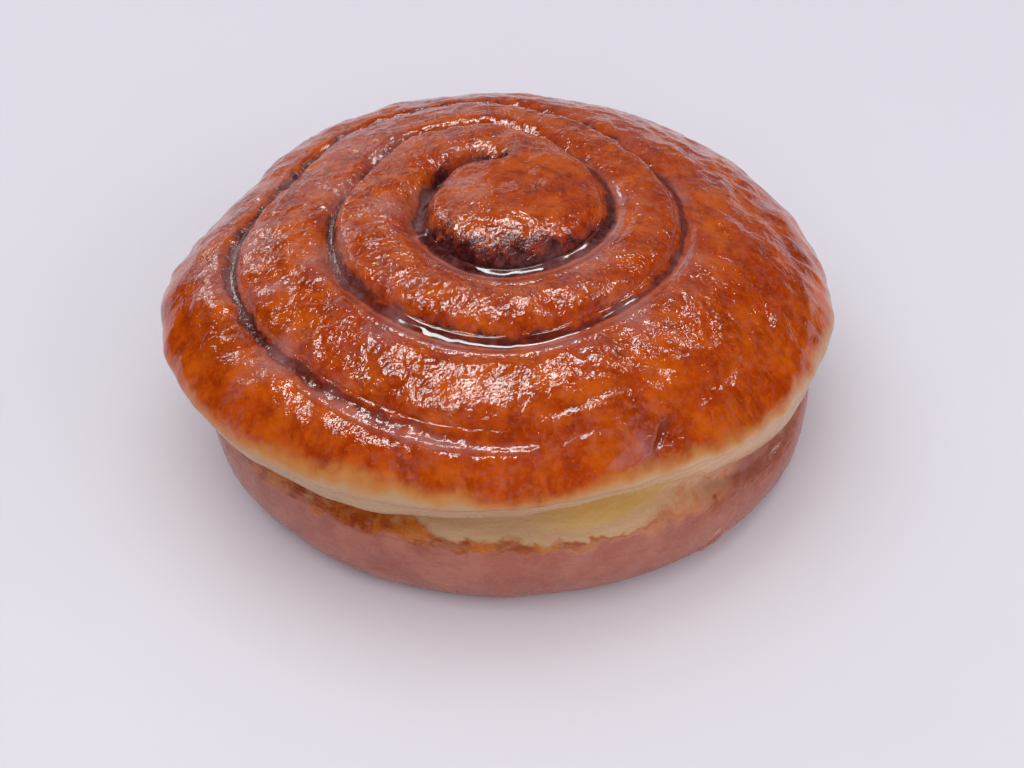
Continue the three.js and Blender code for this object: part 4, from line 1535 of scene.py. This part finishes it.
@dataclass(frozen=True)
class DriedGlaze:
    """The finish of glaze that has dried to a white, half clear crust of sugar."""

    groups: NodeGroups
    sugar: Colour = (0.66, 0.50, 0.47)
    clear: Colour = (0.38, 0.15, 0.12)
    roughness: float = 0.3
    amount: float = 0.45  # how much of it has turned white
    wrinkle: float = 0.5
    blister: float = 0.2

    def material(self) -> bpy.types.Material:
        """Builds the finish."""
        material, sheet, shader = start_material("Dried glaze")
        place = sheet.coordinates()
        film = place_group(sheet, self.groups.haze, Vector=place, Base=self.clear, Film=self.sugar,
                           Amount=self.amount, Veil=1.0, Strength=1.0)
        relief = place_group(sheet, self.groups.relief, Vector=place, Wound=place,
                             Wrinkle=self.wrinkle, Blister=self.blister)
        sheet.feed(shader.inputs["Base Color"], film.outputs["Color"])
        shader.inputs["Roughness"].default_value = self.roughness
        sheet.feed(shader.inputs["Normal"], sheet.bump(relief.outputs["Height"]))
        return material


# ---- Studio -------------------------------------------------------------------------------------


COOL_DAYLIGHT: Colour = (0.86, 1.0, 1.0)


@dataclass(frozen=True)
class Softbox:
    """One rectangular lamp that looks at the roll."""

    name: str
    place: Triple
    size: Pair
    watts: float
    mirrored: bool = True  # whether the glaze mirrors it
    lights: bool = True  # whether it lights the scene
    tint: Colour = (1.0, 1.0, 1.0)
    aim: Triple = (0.0, 0.0, 0.02)

    def build(self) -> None:
        """Puts the lamp in the scene."""
        lamp = bpy.data.lights.new(self.name, "AREA")
        lamp.shape = "RECTANGLE"
        lamp.size, lamp.size_y = self.size
        lamp.energy = self.watts
        lamp.color = self.tint
        holder = bpy.data.objects.new(self.name, lamp)
        holder.location = self.place
        holder.visible_glossy = self.mirrored
        holder.visible_diffuse = self.lights
        toward = Vector(self.aim) - Vector(self.place)
        holder.rotation_euler = toward.to_track_quat("-Z", "Y").to_euler()
        bpy.context.scene.collection.objects.link(holder)


@dataclass(frozen=True)
class Studio:
    """A plain pale floor, soft light and the camera at the photograph's angle, in metres."""

    floor_size: float = 3.0
    floor_tone: Colour = (0.76, 0.71, 0.78)
    floor_shade: float = 0.98  # how dark its faint clouds are
    floor_clouds: Pattern = Pattern(40.0, 4.0)
    floor_roughness: float = 0.7
    sky_tone: Colour = (0.93, 0.95, 1.0)
    sky_strength: float = 0.44
    camera_rise: float = 41.3
    camera_distance: float = 0.3990
    camera_target: Triple = (0.001, 0.0042, 0.0)
    view_angle: float = 28.0
    lamps: tuple[Softbox, ...] = (
        Softbox("Window glint", (-0.08, 0.08, 0.82), (0.8, 0.13), 6.4, lights=False, tint=COOL_DAYLIGHT),
        Softbox("Left glint", (-0.85, 0.85, 0.6), (0.34, 0.26), 2.2, lights=False, tint=COOL_DAYLIGHT),
        Softbox("Right glint", (0.55, 0.25, 0.75), (0.12, 0.12), 0.9, lights=False),
        Softbox("Pale wall", (0.0, 1.6, 0.9), (3.2, 1.6), 2.6, lights=False),
        Softbox("Overhead fill", (-0.25, 0.1, 1.1), (1.5, 1.5), 7.8, mirrored=False),
        Softbox("Front fill", (0.1, -1.0, 0.6), (1.6, 1.1), 5.6, mirrored=False),
        Softbox("Side fill", (1.0, -0.45, 0.55), (1.0, 0.8), 2.6, mirrored=False),
        Softbox("Back window", (-0.5, 1.3, 0.5), (1.1, 0.5), 1.5),
    )

    def build_floor(self) -> None:
        """Lays the floor."""
        sheet = bmesh.new()
        bmesh.ops.create_grid(sheet, x_segments=1, y_segments=1, size=self.floor_size / 2)
        mesh = bpy.data.meshes.new("floor")
        sheet.to_mesh(mesh)
        sheet.free()
        material, nodes, shader = start_material("Pale floor")
        clouds = nodes.noise(nodes.coordinates(), self.floor_clouds)
        shaded = tuple(self.floor_shade * part for part in self.floor_tone)
        nodes.feed(shader.inputs["Base Color"], nodes.mix(clouds, shaded, self.floor_tone))
        nodes.feed(shader.inputs["Roughness"], self.floor_roughness)
        mesh.materials.append(material)
        floor = bpy.data.objects.new("floor", mesh)
        bpy.context.scene.collection.objects.link(floor)

    def build_sky(self) -> None:
        """Sets the even light from all round, which the glaze doesn't mirror."""
        world = bpy.data.worlds.new("Soft sky")
        world.use_nodes = True
        background = world.node_tree.nodes["Background"]
        background.inputs["Color"].default_value = (*self.sky_tone, 1.0)
        background.inputs["Strength"].default_value = self.sky_strength
        world.cycles_visibility.glossy = False
        bpy.context.scene.world = world

    def build_camera(self) -> None:
        """Sets the camera at the photograph's angle."""
        lens = bpy.data.cameras.new("camera")
        lens.angle = math.radians(self.view_angle)
        lens.clip_start, lens.clip_end = 0.01, 10.0
        camera = bpy.data.objects.new("camera", lens)
        rise = math.radians(self.camera_rise)
        back = Vector((0.0, -math.cos(rise), math.sin(rise)))
        camera.location = Vector(self.camera_target) + back * self.camera_distance
        camera.rotation_euler = (-back).to_track_quat("-Z", "Y").to_euler()
        bpy.context.scene.collection.objects.link(camera)
        bpy.context.scene.camera = camera

    def build(self) -> None:
        """Builds the whole studio."""
        self.build_floor()
        self.build_sky()
        for lamp in self.lamps:
            lamp.build()
        self.build_camera()
        bpy.context.scene.view_settings.view_transform = "Standard"


# ---- Everything in order ------------------------------------------------------------------------


def main() -> None:
    """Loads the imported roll, builds each piece over it and lights it."""
    logging.basicConfig(level=logging.INFO, format="%(message)s")
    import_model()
    form = RollForm()
    skin = Skin(form, Furrow(form))
    groups = NodeGroups()
    crust = GlazedCrust(groups).material()
    DoughBody(skin, crust).build()
    CinnamonLayer(skin, CinnamonPaste().material()).build()
    GlazePool(skin, crust, "heart_glaze_pool", 190.0, 420.0).build()
    GlazePool(skin, crust, "middle_glaze_pool", 565.0, 760.0).build()
    GlazePool(skin, crust, "outer_glaze_pool", 925.0, 1005.0, ripple=Relief(0.32, 2.4, 2, 13.0),
              fill=0.5, sleekness=0.5).build()
    GlazeRun(skin, crust, "tail_drip", TAIL_DRIP, thickness=0.36, milk=0.6).build()
    dried = DriedGlaze(groups).material()
    crystals = Relief(0.25, 1.2, 2, 29.0)
    GlazeRun(skin, dried, "dried_glaze_ridge", RIDGE_LINE, thickness=0.55, ripple=crystals).build()
    GlazeRun(skin, dried, "dried_glaze_fleck", FLECK_LINE, thickness=0.4, ripple=crystals).build()
    Studio().build()


if __name__ == "__main__":
    main()
